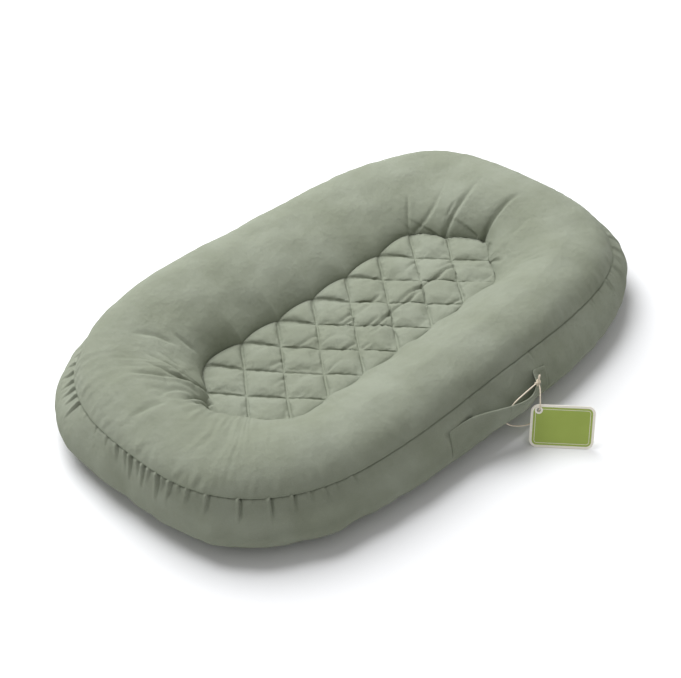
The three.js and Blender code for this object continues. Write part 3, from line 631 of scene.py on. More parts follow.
# Creases that the cloth shows, in millimetres: the route seen from above, the depth, the dip's width
# left and right of the route, the height of its lip left and right as a share of the depth, and
# where along it the dip has come in and where it starts to go
SMALL = (2.0, 2.0), (0.8, 0.5), (0.1, 0.6)
FAINT = (2.2, 2.2), (0.6, 0.4), (0.1, 0.7)
CREASES = [
    # drag lines across the quilting
    ([(172, -12), (140, -13), (115, -10), (76, -10), (57, -8)], 3.2, (2.3, 2.3), (0.9, 0.5), (0.15, 0.6)),
    ([(106, -15), (79, -18), (50, -16), (24, -20), (-13, -22)], 3.2, (2.2, 2.2), (0.9, 0.5), (0.15, 0.6)),
    ([(65, 16), (50, 16), (39, 24), (24, 24)], 1.7, (2.2, 2.2), (0.8, 0.4), (0.2, 0.6)),
    ([(150, 31), (126, 26), (109, 24)], 1.3, (2.2, 2.2), (0.6, 0.4), (0.3, 0.5)),
    ([(14, 18), (-4, 16), (-14, 20)], 1.6, *SMALL),
    ([(-24, -25), (-38, -23), (-47, -19)], 1.6, *SMALL),
    ([(-44, 19), (-66, 19), (-78, 25)], 1.0, *FAINT),
    ([(-104, 16), (-119, 15), (-130, 18)], 1.2, *FAINT),
    ([(-123, -7), (-141, -11), (-156, -13)], 1.1, *FAINT),
    ([(-61, -36), (-76, -36), (-89, -36)], 1.3, *FAINT),
    ([(125, -64), (112, -60), (96, -58)], 1.3, *FAINT),
    ([(38, 10), (24, 10), (13, 10)], 1.5, *SMALL),
    ([(31, -14), (16, -12), (0, -10)], 1.6, (2.0, 2.0), (0.8, 0.5), (0.2, 0.6)),
    ([(27, -27), (7, -29), (-9, -27)], 1.4, *SMALL),
    ([(-12, -40), (-22, -37), (-32, -34)], 1.2, (2.0, 2.0), (0.7, 0.4), (0.1, 0.6)),
    ([(5, 9), (-5, 10), (-11, 12)], 1.2, (1.8, 1.8), (0.7, 0.4), (0.1, 0.6)),
    ([(184, -2), (157, -6), (139, 0)], 1.3, (2.2, 2.2), (0.6, 0.4), (0.2, 0.6)),
    ([(-30, 3), (-45, 5), (-57, 4)], 1.0, (2.0, 2.0), (0.6, 0.4), (0.1, 0.7)),
    ([(88, 44), (70, 42), (58, 46)], 0.9, *FAINT),
    ([(-96, 46), (-112, 45), (-124, 48)], 0.8, *FAINT),
    # the -X end, from the well's tip out over the rim
    ([(-214, 30), (-226, 34), (-237, 37), (-246, 40), (-256, 46), (-272, 57)],
     3.4, (1.9, 4.2), (1.4, 0.4), (0.05, 0.4)),
    ([(-232, 37), (-242, 42), (-250, 50), (-256, 62), (-262, 75), (-268, 86)],
     2.3, (1.6, 3.0), (1.1, 0.5), (0.1, 0.4)),
    ([(-236, 46), (-240, 58), (-244, 70), (-248, 82), (-256, 96)], 2.0, (1.6, 3.0), (1.1, 0.5), (0.1, 0.4)),
    ([(-228, 50), (-230, 62), (-233, 76), (-240, 90)], 1.6, (1.6, 2.8), (1.0, 0.5), (0.1, 0.4)),
    ([(-258, 46), (-267, 54), (-277, 63), (-290, 73)], 1.8, (2.4, 4.4), (1.0, 0.5), (0.2, 0.5)),
    ([(-222, 10), (-232, 14), (-245, 13), (-262, 7), (-280, 0)], 3.2, (1.7, 4.2), (1.4, 0.5), (0.05, 0.4)),
    ([(-232, 4), (-246, 3), (-260, -3), (-272, -9)], 1.6, (1.8, 3.6), (1.0, 0.4), (0.2, 0.5)),
    ([(-288, 7), (-302, 12), (-313, 15), (-324, 19), (-338, 25)], 1.6, (2.2, 4.2), (0.9, 0.6), (0.3, 0.5)),
    ([(-250, 20), (-266, 25), (-281, 24), (-298, 20)], 1.8, (2.2, 4.6), (1.0, 0.5), (0.3, 0.5)),
    ([(-186, 78), (-193, 87), (-197, 96), (-201, 107)], 1.3, (3.0, 3.6), (0.7, 0.7), (0.2, 0.5)),
    ([(-206, 86), (-214, 97), (-221, 106), (-232, 114), (-250, 126)],
     1.8, (2.8, 4.6), (0.9, 0.6), (0.2, 0.5)),
    ([(-205, -30), (-222, -42), (-240, -56)], 1.2, (3.6, 4.6), (0.8, 0.6), (0.1, 0.5)),
    # the +X end, from the corners of the quilting
    ([(179, 71), (184, 78), (192, 86), (202, 95), (216, 108)], 1.2, (3.2, 1.8), (0.6, 0.8), (0.05, 0.5)),
    ([(184, 69), (205, 65), (225, 67), (241, 72), (258, 78)], 1.6, (3.6, 1.8), (0.6, 0.5), (0.1, 0.4)),
    ([(220, 44), (233, 46), (244, 47)], 1.1, (2.6, 1.8), (0.6, 1.1), (0.3, 0.6)),
    ([(206, 35), (223, 38), (234, 39), (252, 40), (267, 41), (290, 44)],
     2.8, (4.4, 2.4), (0.8, 0.45), (0.02, 0.4)),
    ([(232, -7), (247, -9), (257, -11), (272, -14), (298, -24)], 2.8, (4.4, 2.6), (0.8, 0.45), (0.02, 0.4)),
    ([(208, -46), (206, -56), (207, -66)], 0.8, (2.4, 2.0), (0.8, 0.8), (0.05, 0.6)),
    ([(207, -62), (222, -53), (240, -49), (260, -54), (276, -62)], 1.2, (6.0, 6.0), (0.8, 0.8), (0.1, 0.6)),
]
LIP_REACH, CREASE_REACH = 3.0, 8             # how far the lips and the whole crease reach, in widths
CREASE_LEGS = 29
MM = 0.001


def along_route(at, turn, route):
    """Points of a route at the given distances along it. turn is the distance of each known point."""
    return np.stack([np.interp(at, turn, values) for values in route.T], axis=1)


def crease_height(points, normals, route, depth, widths, lips, fades):
    """Height that one crease adds: a dip along its route, as wide on its left and right as the two
    widths say, with a soft lip on either side."""
    route = np.array(route, float) * MM
    depth, widths = depth * MM, np.array(widths) * MM
    reach = CREASE_REACH * widths.sum()
    turn = length_along(route)
    line = along_route(np.linspace(0, turn[-1], CREASE_LEGS + 1), turn, route)
    line[1:-1] = (line[:-2] + 2 * line[1:-1] + line[2:]) / 4
    near = np.flatnonzero(
        (np.abs(points[:, 0] - line[:, 0].mean()) < np.ptp(line[:, 0]) / 2 + reach)
        & (np.abs(points[:, 1] - line[:, 1].mean()) < np.ptp(line[:, 1]) / 2 + reach))
    here = points[near]
    closest = np.argmin(np.linalg.norm(here[:, None, :2] - line[None], axis=2), axis=0)
    line = np.concatenate([line, here[closest, 2:]], axis=1)
    starts, legs = line[:-1], np.diff(line, axis=0)
    offset = here[:, None] - starts[None]
    part = ((offset * legs).sum(axis=2) / (legs ** 2).sum(axis=1)).clip(0, 1)
    apart = offset - part[..., None] * legs
    span = np.linalg.norm(apart, axis=2)
    leg = span.argmin(axis=1)
    row = np.arange(len(here))
    side = np.sign((np.cross(legs[leg], apart[row, leg]) * normals[near]).sum(axis=1))
    across = span[row, leg] * side
    across /= np.where(across > 0, *widths)
    share = (leg + part[row, leg]) / len(legs)
    fade = softened((share / fades[0]).clip(0, 1) * ((1 - share) / (1 - fades[1])).clip(0, 1))
    lip = np.abs(across) / LIP_REACH
    shape = np.where(across > 0, *lips) * lip * np.exp(1 - lip) - np.exp(-across ** 2)
    height = np.zeros(len(points))
    height[near] = depth * shape * fade
    return height


smooth_points, smooth_normals = points_of(top_cloth), normals_of(top_cloth)
top_lift = sum(crease_height(smooth_points, smooth_normals, *crease) for crease in CREASES)
over_rim = np.repeat(np.sin(np.linspace(0, math.pi, len(rim))), RAYS)
rise = np.concatenate([over_rim, np.zeros(len(quilt))])
top_lift += rise * unevenness(smooth_points, TOP_WAVES)

# Faint streaks where the cloth is drawn from the well to the seam, and small gathers at the seam
ring_share = np.repeat(np.linspace(0, 1, len(rim)), RAYS)
ray_turn = np.tile(ray_distance * 2 * math.pi / ROUND, len(rim))
drawn = np.stack([
    ROUND / (2 * math.pi) * np.cos(ray_turn),
    ROUND / (2 * math.pi) * np.sin(ray_turn),
    STREAK_LENGTH * ring_share,
], axis=1)
streak_share = np.tile((STREAK_SHARE - STREAK_TURN * ray_outward[:, 0]) * (1 - far_share), len(rim))
streaks = STREAK_HEIGHT * streak_share * over_rim * waves(drawn, STREAK_SIZE, 5, STREAK_WAVES)
at_seam = np.exp(-((ring_share - GATHER_PLACE) / GATHER_REACH) ** 2)
gathers = GATHER_HEIGHT * at_seam * waves(drawn, GATHER_SIZE, 6, STREAK_WAVES)
top_lift[:rim_count] += streaks + gathers
top_lift[RAYS:2 * RAYS] -= SEAM_SINK
swell(top_cloth, top_lift)


def relax(points, faces, sewn, pressure, spare, frames, reach):
    """Cloth simulation of a patch that its stuffing blows out, so that spare cloth buckles between
    what is sewn down. sewn numbers the points that stay, and no point moves further than reach."""
    patch = add_mesh("relaxing_patch", points, faces)
    patch.vertex_groups.new(name="sewn").add(sewn.tolist(), 1.0, "REPLACE")
    cloth = patch.modifiers.new("cloth", "CLOTH")
    fabric = cloth.settings
    fabric.quality, fabric.mass, fabric.air_damping = 5, 0.2, 5.0
    fabric.tension_stiffness, fabric.compression_stiffness, fabric.shear_stiffness = 12.0, 12.0, 3.0
    fabric.bending_stiffness, fabric.bending_damping = 0.02, 0.3
    fabric.vertex_group_mass, fabric.pin_stiffness = "sewn", 1.0
    fabric.use_pressure, fabric.uniform_pressure_force = True, pressure
    fabric.shrink_min = -spare
    fabric.effector_weights.gravity = 0.0
    cloth.collision_settings.use_collision = False
    for step in range(1, frames + 1):
        bpy.context.scene.frame_set(step)
    settled = patch.evaluated_get(bpy.context.evaluated_depsgraph_get())
    flat = np.empty(points.size)
    settled.data.vertices.foreach_get("co", flat)
    bpy.data.objects.remove(patch)
    bpy.context.scene.frame_set(1)
    moved = flat.reshape(-1, 3) - points
    far = np.linalg.norm(moved, axis=1, keepdims=True)
    return points + moved * np.minimum(1, reach / far.clip(1e-9))


to_lines = [np.abs(by_stitches(n) - SIDE * np.round(n / SIDE)) for n in (quilt_p, quilt_q)]
top_now = points_of(top_cloth)
patch_faces = [[c - rim_count for c in f] for f in top_faces if min(f) >= rim_count]
on_line = np.minimum(*to_lines) < ON_LINE
sewn = np.concatenate([np.flatnonzero(on_line), border_number - rim_count])
top_now[rim_count:] = relax(
    top_now[rim_count:], patch_faces, sewn, PRESSURE, SPARE_CLOTH, RELAX_FRAMES, RELAX_REACH)
place_points(top_cloth, top_now)

# The thread pulls the cloth down into a narrow groove along each stitch line
step_width = DIAMOND_LENGTH * DIAMOND_WIDTH / DIAMOND_SPAN / SIDE
groove = np.maximum(*(np.exp(-(steps_off * step_width / GROOVE_WIDTH) ** 2) for steps_off in to_lines))
swell(top_cloth, np.concatenate([np.zeros(rim_count), -GROOVE_DEPTH * groove]))
top_cloth.data.materials.append(sage_cotton)
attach(top_cloth, "root")
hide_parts("top_cover", "rim_fill", "centre_pad")


# Stitches: polyester thread a shade darker than the cloth, in short lockstitches that sink in at
# both ends. They run along the quilting, the two long seams and the strap's sewn ends.
STITCH_PITCH, STITCH_SHARE, THREAD_RADIUS, STITCH_RAISED = 0.0029, 0.80, 0.00036, 0.0002
STITCH_SIDES, STITCH_RINGS, STITCH_END_SHARE = 6, 5, 0.45


def spun_thread(name, colour):
    """Thread or string spun from plies, with painted shade in the grooves between them."""
    material, start, shader = new_material(name)
    body = start.node("TexCoord", {}, {}, out=3)
    ply = start.node("TexWave", {"bands_direction": "DIAGONAL"}, {
        "Vector": body, "Scale": 700.0, "Distortion": 1.0})
    twist = start.node("Bump", {}, {"Strength": 0.4, "Distance": 0.0002, "Height": ply})
    # Painted shade: along the plies' twist the colour darkens to three quarters, standing in for shade
    # between the plies
    shade = start.node("Mix", {"data_type": "RGBA"}, {
        "Factor": ply * 0.5, 6: colour, 7: tuple(c * 0.75 for c in colour[:3]) + (1,)}, out=2)
    start.fill(shader, {"Base Color": shade, "Normal": twist, "Roughness": 0.7})
    return material


sage_thread = spun_thread("sage_thread", tone(140, 147, 127))


def tube_rings(line, up, beside, radius, around):
    """A ring of points round each point of a line, in the plane of its two directions."""
    return line[:, None] + radius[..., None] * (
        np.cos(around)[..., None] * up[:, None] + np.sin(around)[..., None] * beside[:, None])


def tube_faces(rings, columns, first=0):
    """Quads round a tube, and a flat face over each of its ends."""
    start_cap = list(range(first, first + columns))[::-1]
    end_cap = list(range(first + (rings - 1) * columns, first + rings * columns))
    return ring_faces(rings, columns, first).tolist() + [start_cap, end_cap]


def stitch_run(name, node, runs):
    """Stitches along each run, which is a route of points and the way out of the cloth at each."""
    points, faces = [], []
    around = np.linspace(0, 2 * math.pi, STITCH_SIDES, endpoint=False)[None]
    arch = np.sin(np.linspace(0, math.pi, STITCH_RINGS))
    thick = THREAD_RADIUS * (STITCH_END_SHARE + (1 - STITCH_END_SHARE) * arch)
    for route, out in runs:
        turn = length_along(route)
        for k in range(int(turn[-1] / STITCH_PITCH)):
            begin = (k + 0.5 - STITCH_SHARE / 2) * STITCH_PITCH
            at = np.linspace(begin, begin + STITCH_PITCH * STITCH_SHARE, STITCH_RINGS)
            centre, up = along_route(at, turn, route), along_route(at, turn, out)
            up /= np.linalg.norm(up, axis=1, keepdims=True)
            ahead = centre[-1] - centre[0]
            beside = np.cross(ahead / np.linalg.norm(ahead), up)
            centre += up * (STITCH_RAISED * (2 * arch - 1))[:, None]
            faces += tube_faces(STITCH_RINGS, STITCH_SIDES, len(points))
            points += tube_rings(centre, up, beside, thick[:, None], around).reshape(-1, 3).tolist()
    obj = add_mesh(name, points, faces)
    obj.data.materials.append(sage_thread)
    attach(obj, "root")
    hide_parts(node)


def closed_ring(values, ring, columns):
    """One ring of a skin's values, which ends on its first again."""
    return values[ring * columns + np.arange(columns + 1) % columns]


top_now, top_out = points_of(top_cloth), normals_of(top_cloth)
quilt_runs = []
for line in range(QUILT_LINES + 1):
    low, high = max(0, line - QUILT_REACH) * SIDE, min(QUILT_LINES, line + QUILT_REACH) * SIDE
    for numbers in (number[line * SIDE, low:high + 1], number[low:high + 1, line * SIDE]):
        quilt_runs.append((top_now[numbers], np.broadcast_to([0.0, 0.0, 1.0], (len(numbers), 3))))
stitch_run("quilting_stitches", "quilting_thread", quilt_runs)

band_now, band_out = points_of(side_band), normals_of(side_band)
low_seam_ring = len(band_rings) - 3
stitch_run("upper_seam_stitches", "upper_seam_thread", [
    (closed_ring(top_now, 2, RAYS), closed_ring(top_out, 2, RAYS))])
stitch_run("lower_seam_stitches", "lower_seam_thread", [
    (closed_ring(band_now, low_seam_ring, ROUND_STEPS), closed_ring(band_out, low_seam_ring, ROUND_STEPS))])


# Hand strap: one strip of the same cotton, folded to several layers, sewn flat on the side band at
# both ends. Its slack middle bows away at the top edge and tucks in at the bottom.
STRAP_LENGTH, STRAP_WIDTH, STRAP_THICKNESS, STRAP_MIDDLE = 0.170, 0.029, 0.0016, 0.001
STRAP_TOP, STRAP_SEWN, STRAP_BOW, STRAP_BOW_SKEW, STRAP_TUCK = 0.060, 0.013, 0.018, 1.8, 0.75
STRAP_START, STRAP_END = STRAP_MIDDLE - STRAP_LENGTH / 2, STRAP_MIDDLE + STRAP_LENGTH / 2
STRAP_GAP, STRAP_JOIN, STRAP_TWIST = 0.0002, 0.001, 0.024
STRAP_STEPS, STRAP_FACE_STEPS = 61, 13

# The strap's sewn ends lie on the band, averaged over TOUCH_REACH. Its middle follows the rim's mean
# section, and settles on the band over a length at each end. That section bulges most at MEAN_BULGE.
TOUCH_REACH, STRAP_SETTLE_LEFT, STRAP_SETTLE_RIGHT = 0.003, 0.075, 0.022
MEAN_BULGE, MEAN_ABOVE, MEAN_ABOVE_INSET, MEAN_POWER, MEAN_BELOW_INSET = 0.040, 0.031, 0.023, 2.1, 0.044
STRAP_SIDE = -0.15                           # the band's points beyond this y lie on the strap's side

# How far each end's top edge is sewn off its place, along the strap and up, and how far in that tells
STRAP_ASKEW = [(0.008, -0.004), (0.004, -0.006)]
STRAP_ASKEW_REACH = (0.045, 0.030)

# A soft ripple on the outer face where the strap is full, thin long edges and thinner ends
RIPPLE, RIPPLE_SIZE, RIPPLE_STRETCH, RIPPLE_FROM = 0.00035, 0.022, [1, 1, 1.6], 0.001
EDGE_SHARE, EDGE_POWER, END_THIN_SHARE, END_THIN_REACH = 0.35, 8, 0.4, 0.0012

# The box of stitches on a sewn end: its margin along the strap, where it lies down from the top edge,
# the points to a side, and how far it stands out
BOX_MARGIN, BOX_SHARES, BOX_POINTS, BOX_PROUD = 0.003, (0.1, 0.9), 12, 0.0001


def strap_face(x, down):
    """The strap's inner face, by the place along the strap and the share down from its top edge."""
    start, end = STRAP_START + STRAP_SEWN, STRAP_END - STRAP_SEWN
    share = ((x - start) / (end - start)).clip(0, 1)
    bow = STRAP_BOW * np.sin(math.pi * share ** STRAP_BOW_SKEW) ** 2 * (1 - STRAP_TUCK * down)
    askew = [(1 - down) * (1 - apart.clip(0) / reach).clip(0)
             for apart, reach in zip((x - STRAP_START, STRAP_END - x), STRAP_ASKEW_REACH)]
    x = x + sum(shift[0] * held for shift, held in zip(STRAP_ASKEW, askew))
    z = STRAP_TOP - STRAP_WIDTH * down + sum(shift[1] * held for shift, held in zip(STRAP_ASKEW, askew))
    above = ((z - MEAN_BULGE) / MEAN_ABOVE).clip(0, 1) ** MEAN_POWER
    below = (1 - z / MEAN_BULGE).clip(0) ** 2
    free = WIDTH / 2 * (1 - (np.abs(x) * 2 / LENGTH) ** OUTLINE_POWER) ** (1 / OUTLINE_POWER)
    free = free - MEAN_ABOVE_INSET * (1 - (1 - above) ** (1 / MEAN_POWER))
    free = free - MEAN_BELOW_INSET * (1 - np.sqrt(1 - below))
    near = band_now[band_now[:, 1] < STRAP_SIDE]
    gap = (near[None, :, 0] - x.ravel()[:, None]) ** 2 + (near[None, :, 2] - z.ravel()[:, None]) ** 2
    weight = np.exp(-gap / TOUCH_REACH ** 2)
    touching = -((weight * near[None, :, 1]).sum(axis=1) / weight.sum(axis=1)).reshape(x.shape)
    settled = softened(
        1 - np.minimum((x - start) / STRAP_SETTLE_LEFT, (end - x) / STRAP_SETTLE_RIGHT).clip(0, 1))
    return np.stack([x, -(free + (touching - free) * settled + bow + STRAP_GAP), z], axis=-1)


def strap_half(name, start, end):
    """Half of the strap, as a thin closed band with rounded edges."""
    x = np.linspace(start, end, STRAP_STEPS)
    down = np.sin(np.linspace(-math.pi / 2, math.pi / 2, STRAP_FACE_STEPS)) / 2 + 0.5
    grid_x, grid_down = np.meshgrid(x, down, indexing="ij")
    inner = strap_face(grid_x, grid_down)
    from_end = np.minimum(x - STRAP_START, STRAP_END - x)
    plump = (1 - (1 - (from_end / END_THIN_REACH).clip(0, 1)) ** 2) ** 0.5
    plump = END_THIN_SHARE + (1 - END_THIN_SHARE) * plump
    edge = EDGE_SHARE + (1 - EDGE_SHARE) * (1 - np.abs(2 * grid_down - 1) ** EDGE_POWER)
    thick = STRAP_THICKNESS * edge * plump[:, None]
    ripple = RIPPLE * waves(inner.reshape(-1, 3) * RIPPLE_STRETCH, RIPPLE_SIZE, 11).reshape(thick.shape)
    outer_face = inner.copy()
    outer_face[..., 1] -= thick + ripple * (thick > RIPPLE_FROM)
    loop = np.concatenate([outer_face, inner[:, ::-1]], axis=1)
    faces = tube_faces(STRAP_STEPS, loop.shape[1])
    flat = loop.reshape(-1, 3)
    obj = add_mesh(name, flat, faces, np.concatenate([flat[f][:, [0, 2]] for f in faces]))
    obj.data.materials.append(sage_cotton)
    return obj


def strap_stitches(name, node, end, inward):
    """A box of stitches on one sewn end of the strap."""
    outer_side, inner_side = end + inward * BOX_MARGIN, end + inward * (STRAP_SEWN - BOX_MARGIN)
    top, bottom = BOX_SHARES
    corners = [(outer_side, top), (inner_side, top), (inner_side, bottom), (outer_side, bottom)]
    runs = []
    for (xa, da), (xb, db) in zip(corners, corners[1:] + corners[:1]):
        route = strap_face(np.linspace(xa, xb, BOX_POINTS), np.linspace(da, db, BOX_POINTS))
        route[:, 1] -= STRAP_THICKNESS + BOX_PROUD
        runs.append((route, np.broadcast_to([0.0, -1.0, 0.0], route.shape)))
    stitch_run(name, node, runs)


strap_left = strap_half("hand_strap_left", STRAP_START, STRAP_JOIN)
strap_right = strap_half("hand_strap_right", STRAP_JOIN, STRAP_END)
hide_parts("handle_strap", "handle_end_left")
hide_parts("handle_end_right")
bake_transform(strap_left)
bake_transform(strap_right)
strap_stitches("strap_stitches_left", "end_stitch_left", STRAP_START, 1)
strap_stitches("strap_stitches_right", "end_stitch_right", STRAP_END, -1)


# Tag's string: a limp two-ply cotton string. It leaves the knot, runs along the strap's top edge,
# drops behind the strap, comes out under it, goes through the card's hole and back to the knot.
STRING_DIAMETER, STRING_STEP, STRING_SIDES, CURVE_STEPS = 0.0016, 0.0007, 14, 12
STRING_TWIST = 1500.0                        # radians that the plies turn in each metre
PLY_POWER, PLY_CORE_SHARE, CUT_END_SHARE = 0.7, 0.74, 0.5
ACROSS_START = (0.3, 0.5, 0.8)               # any way that no line starts in

# The route of the string's middle, in millimetres
STRING_ROUTE = [
    (48.8, -240.0, 63.9), (38.0, -240.3, 63.6), (24.0, -240.6, 62.8), (12.0, -240.4, 60.8),
    (6.4, -239.4, 56.0), (4.4, -238.0, 48.0), (3.6, -236.6, 40.0), (3.6, -235.0, 33.0),
    (4.4, -235.6, 28.6), (6.8, -238.4, 26.0), (11.0, -242.6, 24.6), (17.0, -247.0, 23.4),
    (23.4, -250.8, 23.2), (28.6, -253.8, 25.4), (32.4, -255.8, 29.6), (34.8, -256.2, 34.4),
    (36.6, -255.4, 39.0), (36.0, -256.2, 41.4), (35.4, -257.3, 43.8), (36.8, -256.6, 48.2),
    (40.4, -253.4, 54.0), (44.6, -249.6, 59.0), (48.0, -246.0, 62.0), (50.6, -242.7, 63.2),
]
cotton_string = spun_thread("cotton_string", tone(226, 213, 192))


def smooth_route(route):
    """Centripetal Catmull-Rom curve through points in millimetres, in even steps, and its length."""
    known = np.array(route, float) * MM
    padded = np.concatenate([[2 * known[0] - known[1]], known, [2 * known[-1] - known[-2]]])
    pieces = []
    for a, b, c, d in zip(padded, padded[1:], padded[2:], padded[3:]):
        ta = 0.0
        tb = ta + np.linalg.norm(b - a) ** 0.5
        tc = tb + np.linalg.norm(c - b) ** 0.5
        td = tc + np.linalg.norm(d - c) ** 0.5
        t = np.linspace(tb, tc, CURVE_STEPS, endpoint=False)[:, None]
        ab = ((tb - t) * a + (t - ta) * b) / (tb - ta)
        bc = ((tc - t) * b + (t - tb) * c) / (tc - tb)
        cd = ((td - t) * c + (t - tc) * d) / (td - tc)
        abc = ((tc - t) * ab + (t - ta) * bc) / (tc - ta)
        bcd = ((td - t) * bc + (t - tb) * cd) / (td - tb)
        pieces.append(((tc - t) * abc + (t - tb) * bcd) / (tc - tb))
    line = np.concatenate(pieces + [known[-1:]])
    turn = length_along(line)
    fine = np.linspace(0, turn[-1], int(turn[-1] / STRING_STEP) + 2)
    return along_route(fine, turn, line), turn[-1]


def twisted_tube(name, line):
    """Two plies of string twisted together along a line."""
    ahead = np.gradient(line, axis=0)
    ahead /= np.linalg.norm(ahead, axis=1, keepdims=True)
    side = np.cross(ahead[0], ACROSS_START)
    sides = []
    for forward in ahead:
        side = side - forward * (side @ forward)
        side = side / np.linalg.norm(side)
        sides.append(side)
    sides = np.array(sides)
    around = np.linspace(0, 2 * math.pi, STRING_SIDES, endpoint=False)[None]
    ply = np.abs(np.cos(around - length_along(line)[:, None] * STRING_TWIST)) ** PLY_POWER
    radius = STRING_DIAMETER / 2 * (PLY_CORE_SHARE + (1 - PLY_CORE_SHARE) * ply)
    radius[[0, -1]] *= CUT_END_SHARE
    rings = tube_rings(line, sides, np.cross(ahead, sides), radius, around)
    obj = add_mesh(name, rings, tube_faces(len(line), STRING_SIDES))
    obj.data.materials.append(cotton_string)
    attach(obj, "handle")
    return obj


string_line, string_length = smooth_route(STRING_ROUTE)
tag_string = twisted_tube("string_loop", string_line)
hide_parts("tag_string")


# Knot: the tag's string tied over itself where its two ends meet on the strap's top edge. Its tail
# stands up above it in a short loop. Places and sizes are in millimetres, and the tail's from KNOT.
KNOT, KNOT_SIZE, KNOT_DEPTH_SHARE = np.array([51.5, -239.8, 62.9]), 1.30, 1.3
KNOT_STRETCH, KNOT_POINTS = [1.0, 0.9, 1.05], 60
TAIL_ROUTE = [
    (0.4, -1.4, 0.8), (-0.6, -2.2, 3.4), (-1.9, -2.4, 6.6), (-1.9, -2.1, 9.8), (-0.2, -1.4, 12.0),
    (2.0, -0.7, 11.0), (2.6, -0.3, 7.8), (1.8, -0.4, 4.2), (0.8, 0.0, 1.0),
]
knot_turn = np.linspace(0, 2 * math.pi, KNOT_POINTS, endpoint=False)
trefoil = np.stack([
    np.sin(knot_turn) + 2 * np.sin(2 * knot_turn),
    -KNOT_DEPTH_SHARE * np.sin(3 * knot_turn),
    np.cos(knot_turn) - 2 * np.cos(2 * knot_turn),
], axis=1)
string_knot = twisted_tube("string_knot", smooth_route(KNOT + KNOT_SIZE * trefoil * KNOT_STRETCH)[0])
string_tail = twisted_tube("string_tail", smooth_route(KNOT + np.array(TAIL_ROUTE))[0])
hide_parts("tag_knot")


# Hang tag: a plain rounded card, cream with a green field printed on it. It stands on its lower
# edge and leans out, held by the string through its punched hole.
TAG_LENGTH, TAG_WIDTH, TAG_THICKNESS, TAG_CORNER, TAG_BEVEL = 0.074, 0.052, 0.0009, 0.009, 0.0002
TAG_HOLE_RADIUS, TAG_HOLE_FROM_END, TAG_HOLE_FROM_TOP = 0.0024, 0.009, 0.007
TAG_SLOPE, TAG_TURN, TAG_HOLE = math.radians(66), math.radians(-50), (0.036, -0.256, 0.04129)
TAG_BORDER, TAG_KEYLINE, TAG_KEYLINE_IN, TAG_HOLE_MARGIN = 0.0030, 0.0005, 0.0026, 0.0022
TAG_CENTRE = (TAG_LENGTH / 2 - TAG_HOLE_FROM_END, TAG_HOLE_FROM_TOP - TAG_WIDTH / 2)
CORNER_POINTS, HOLE_POINTS = 10, 24


def printed_card(name):
    """Uncoated card: cream stock, a green field with rounded corners, and a thin cream line inside it."""
    material, start, shader = new_material(name)
    place = start.node("TexCoord", {}, {}, out=3)
    from_hole = [start.node("SeparateXYZ", {}, {"Vector": place}, out=k) for k in range(2)]
    across, up = (start.maths("ABSOLUTE", far - centre) for far, centre in zip(from_hole, TAG_CENTRE))

    def distance_of(a, b):
        return start.maths("SQRT", a * a + b * b)

    def outside(inset):
        """Distance outside a rounded field that lies that far inside the card's edge."""
        radius = TAG_CORNER - inset
        wide = start.maths("MAXIMUM", across - (TAG_LENGTH / 2 - inset - radius), 0.0)
        tall = start.maths("MAXIMUM", up - (TAG_WIDTH / 2 - inset - radius), 0.0)
        return distance_of(wide, tall) - radius

    field = start.maths("LESS_THAN", outside(TAG_BORDER), 0.0)
    off_line = start.maths("ABSOLUTE", outside(TAG_BORDER + TAG_KEYLINE_IN))
    line = start.maths("LESS_THAN", off_line, TAG_KEYLINE / 2)
    ring = start.maths("LESS_THAN", distance_of(*from_hole), TAG_HOLE_RADIUS + TAG_HOLE_MARGIN)
    green = field * (1 - line) * (1 - ring)
    fibre = start.node("TexNoise", {}, {"Vector": place, "Scale": 1400.0, "Detail": 4.0})
    cloud = start.node("TexNoise", {}, {"Vector": place, "Scale": 30.0, "Detail": 2.0})

    def mix(factor, first, second):
        return start.node("Mix", {"data_type": "RGBA"}, {"Factor": factor, 6: first, 7: second}, out=2)

    ink = mix(cloud * 0.8 + fibre * 0.2, tone(166, 184, 84), tone(148, 166, 70))
    stock = mix(fibre, tone(250, 246, 234), tone(240, 234, 219))
    tooth = start.node("Bump", {}, {"Strength": 0.25, "Distance": 0.0002, "Height": fibre})
    start.fill(shader, {
        "Base Color": mix(green, stock, ink), "Normal": tooth, "Roughness": 0.62 - green * 0.12})
    return material


def arc(centre, radius, degrees):
    """Points round part of a circle, at the angles given."""
    return [(centre[0] + radius * math.cos(t), centre[1] + radius * math.sin(t)) for t in np.radians(degrees)]


card_outline = bpy.data.curves.new("tag_outline", "CURVE")
card_outline.dimensions, card_outline.fill_mode = "2D", "BOTH"
card_outline.extrude = TAG_THICKNESS / 2 - TAG_BEVEL
card_outline.bevel_depth, card_outline.offset = TAG_BEVEL, -TAG_BEVEL
wide, tall = TAG_LENGTH / 2 - TAG_CORNER, TAG_WIDTH / 2 - TAG_CORNER
edge = []
for k, (cx, cy) in enumerate([(wide, tall), (-wide, tall), (-wide, -tall), (wide, -tall)]):
    corner = (TAG_CENTRE[0] + cx, TAG_CENTRE[1] + cy)
    edge += arc(corner, TAG_CORNER, 90 * k + np.linspace(0, 90, CORNER_POINTS))
hole_edge = arc((0, 0), TAG_HOLE_RADIUS, np.linspace(0, -360, HOLE_POINTS + 1)[:-1])
for loop in (edge, hole_edge):
    spline = card_outline.splines.new("POLY")
    spline.points.add(len(loop) - 1)
    spline.points.foreach_set("co", np.array([(x, y, 0, 1) for x, y in loop]).ravel())
    spline.use_cyclic_u = True
card_form = bpy.data.objects.new("tag_outline", card_outline)
hang_tag = bpy.data.objects.new("hang_tag", bpy.data.meshes.new_from_object(card_form))
bpy.data.objects.remove(card_form)
bpy.context.scene.collection.objects.link(hang_tag)
hang_tag.data.materials.clear()
hang_tag.data.materials.append(printed_card("printed_card"))
along_card = Vector((math.cos(TAG_TURN), math.sin(TAG_TURN), 0))
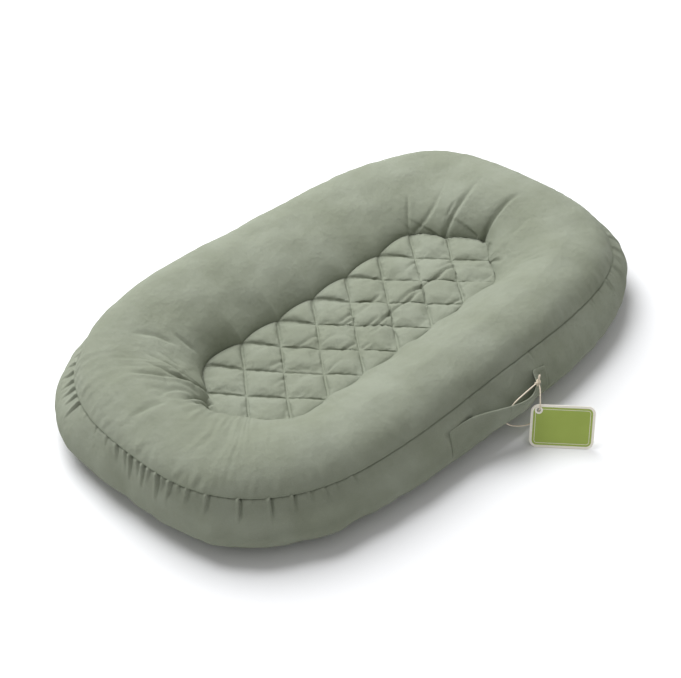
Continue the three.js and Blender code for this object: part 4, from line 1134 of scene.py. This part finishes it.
lean_out = Vector((math.sin(TAG_TURN), -math.cos(TAG_TURN), 0))
up_card = Vector((0, 0, math.sin(TAG_SLOPE))) - lean_out * math.cos(TAG_SLOPE)
turned = Matrix((along_card, up_card, along_card.cross(up_card))).transposed()
hang_tag.matrix_world = Matrix.Translation(TAG_HOLE) @ turned.to_4x4()
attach(hang_tag, "tag")
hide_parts("tag_card")


# Floor: a plain matt sheet in a pale grey, which the studio light turns white. It lies flat under
# the lounger and reaches past the frame on every side.
FLOOR_REACH, FLOOR_TONE = 6, (0.8, 0.8, 0.8, 1)
floor_corners = [(x * FLOOR_REACH, y * FLOOR_REACH, 0) for x, y in ((-1, -1), (1, -1), (1, 1), (-1, 1))]
floor = add_mesh("floor", floor_corners, [(0, 1, 2, 3)])
floor_white, start, shader = new_material("floor_white")
start.fill(shader, {"Base Color": FLOOR_TONE, "Roughness": 0.9})
floor.data.materials.append(floor_white)


# Studio light: one broad soft light high over the far long side, a little cool, and a pale room
# that lights the lounger evenly from all round.
KEY_PLACE, KEY_SIZE, KEY_POWER, COOL_WHITE = (0.25, 1.42, 2.2), 2.6, 125, (0.965, 0.975, 1.0)
ROOM_TONE, ROOM_STRENGTH = (1, 1, 1, 1), 0.46


def set_up(name, data, place, aim):
    """A lamp or camera at its place, turned towards its aim."""
    obj = bpy.data.objects.new(name, data)
    obj.location = place
    obj.rotation_euler = (Vector(aim) - Vector(place)).to_track_quat("-Z", "Y").to_euler()
    bpy.context.scene.collection.objects.link(obj)
    return obj


lamp = bpy.data.lights.new("key_light", "AREA")
lamp.shape, lamp.size, lamp.energy, lamp.color = "DISK", KEY_SIZE, KEY_POWER, COOL_WHITE
set_up("key_light", lamp, KEY_PLACE, (0, 0, 0))
room = bpy.data.worlds.new("room")
room.use_nodes = True
room.node_tree.nodes["Background"].inputs["Color"].default_value = ROOM_TONE
room.node_tree.nodes["Background"].inputs["Strength"].default_value = ROOM_STRENGTH
bpy.context.scene.world = room
bpy.context.scene.view_settings.view_transform = "Standard"


# Camera: above the strap's side, towards the -X end, as in the photograph. Its place, aim and lens
# were solved from the quilting's crossings, the upper seam and the outline.
CAMERA_PLACE, CAMERA_AIM = (-1.0312, -0.9664, 1.2086), (-0.04623, -0.02029, 0.060)
CAMERA_LENS, CAMERA_SENSOR = 79.30, 36
camera = set_up("camera", bpy.data.cameras.new("camera"), CAMERA_PLACE, CAMERA_AIM)
camera.data.lens, camera.data.sensor_width = CAMERA_LENS, CAMERA_SENSOR
bpy.context.scene.camera = camera
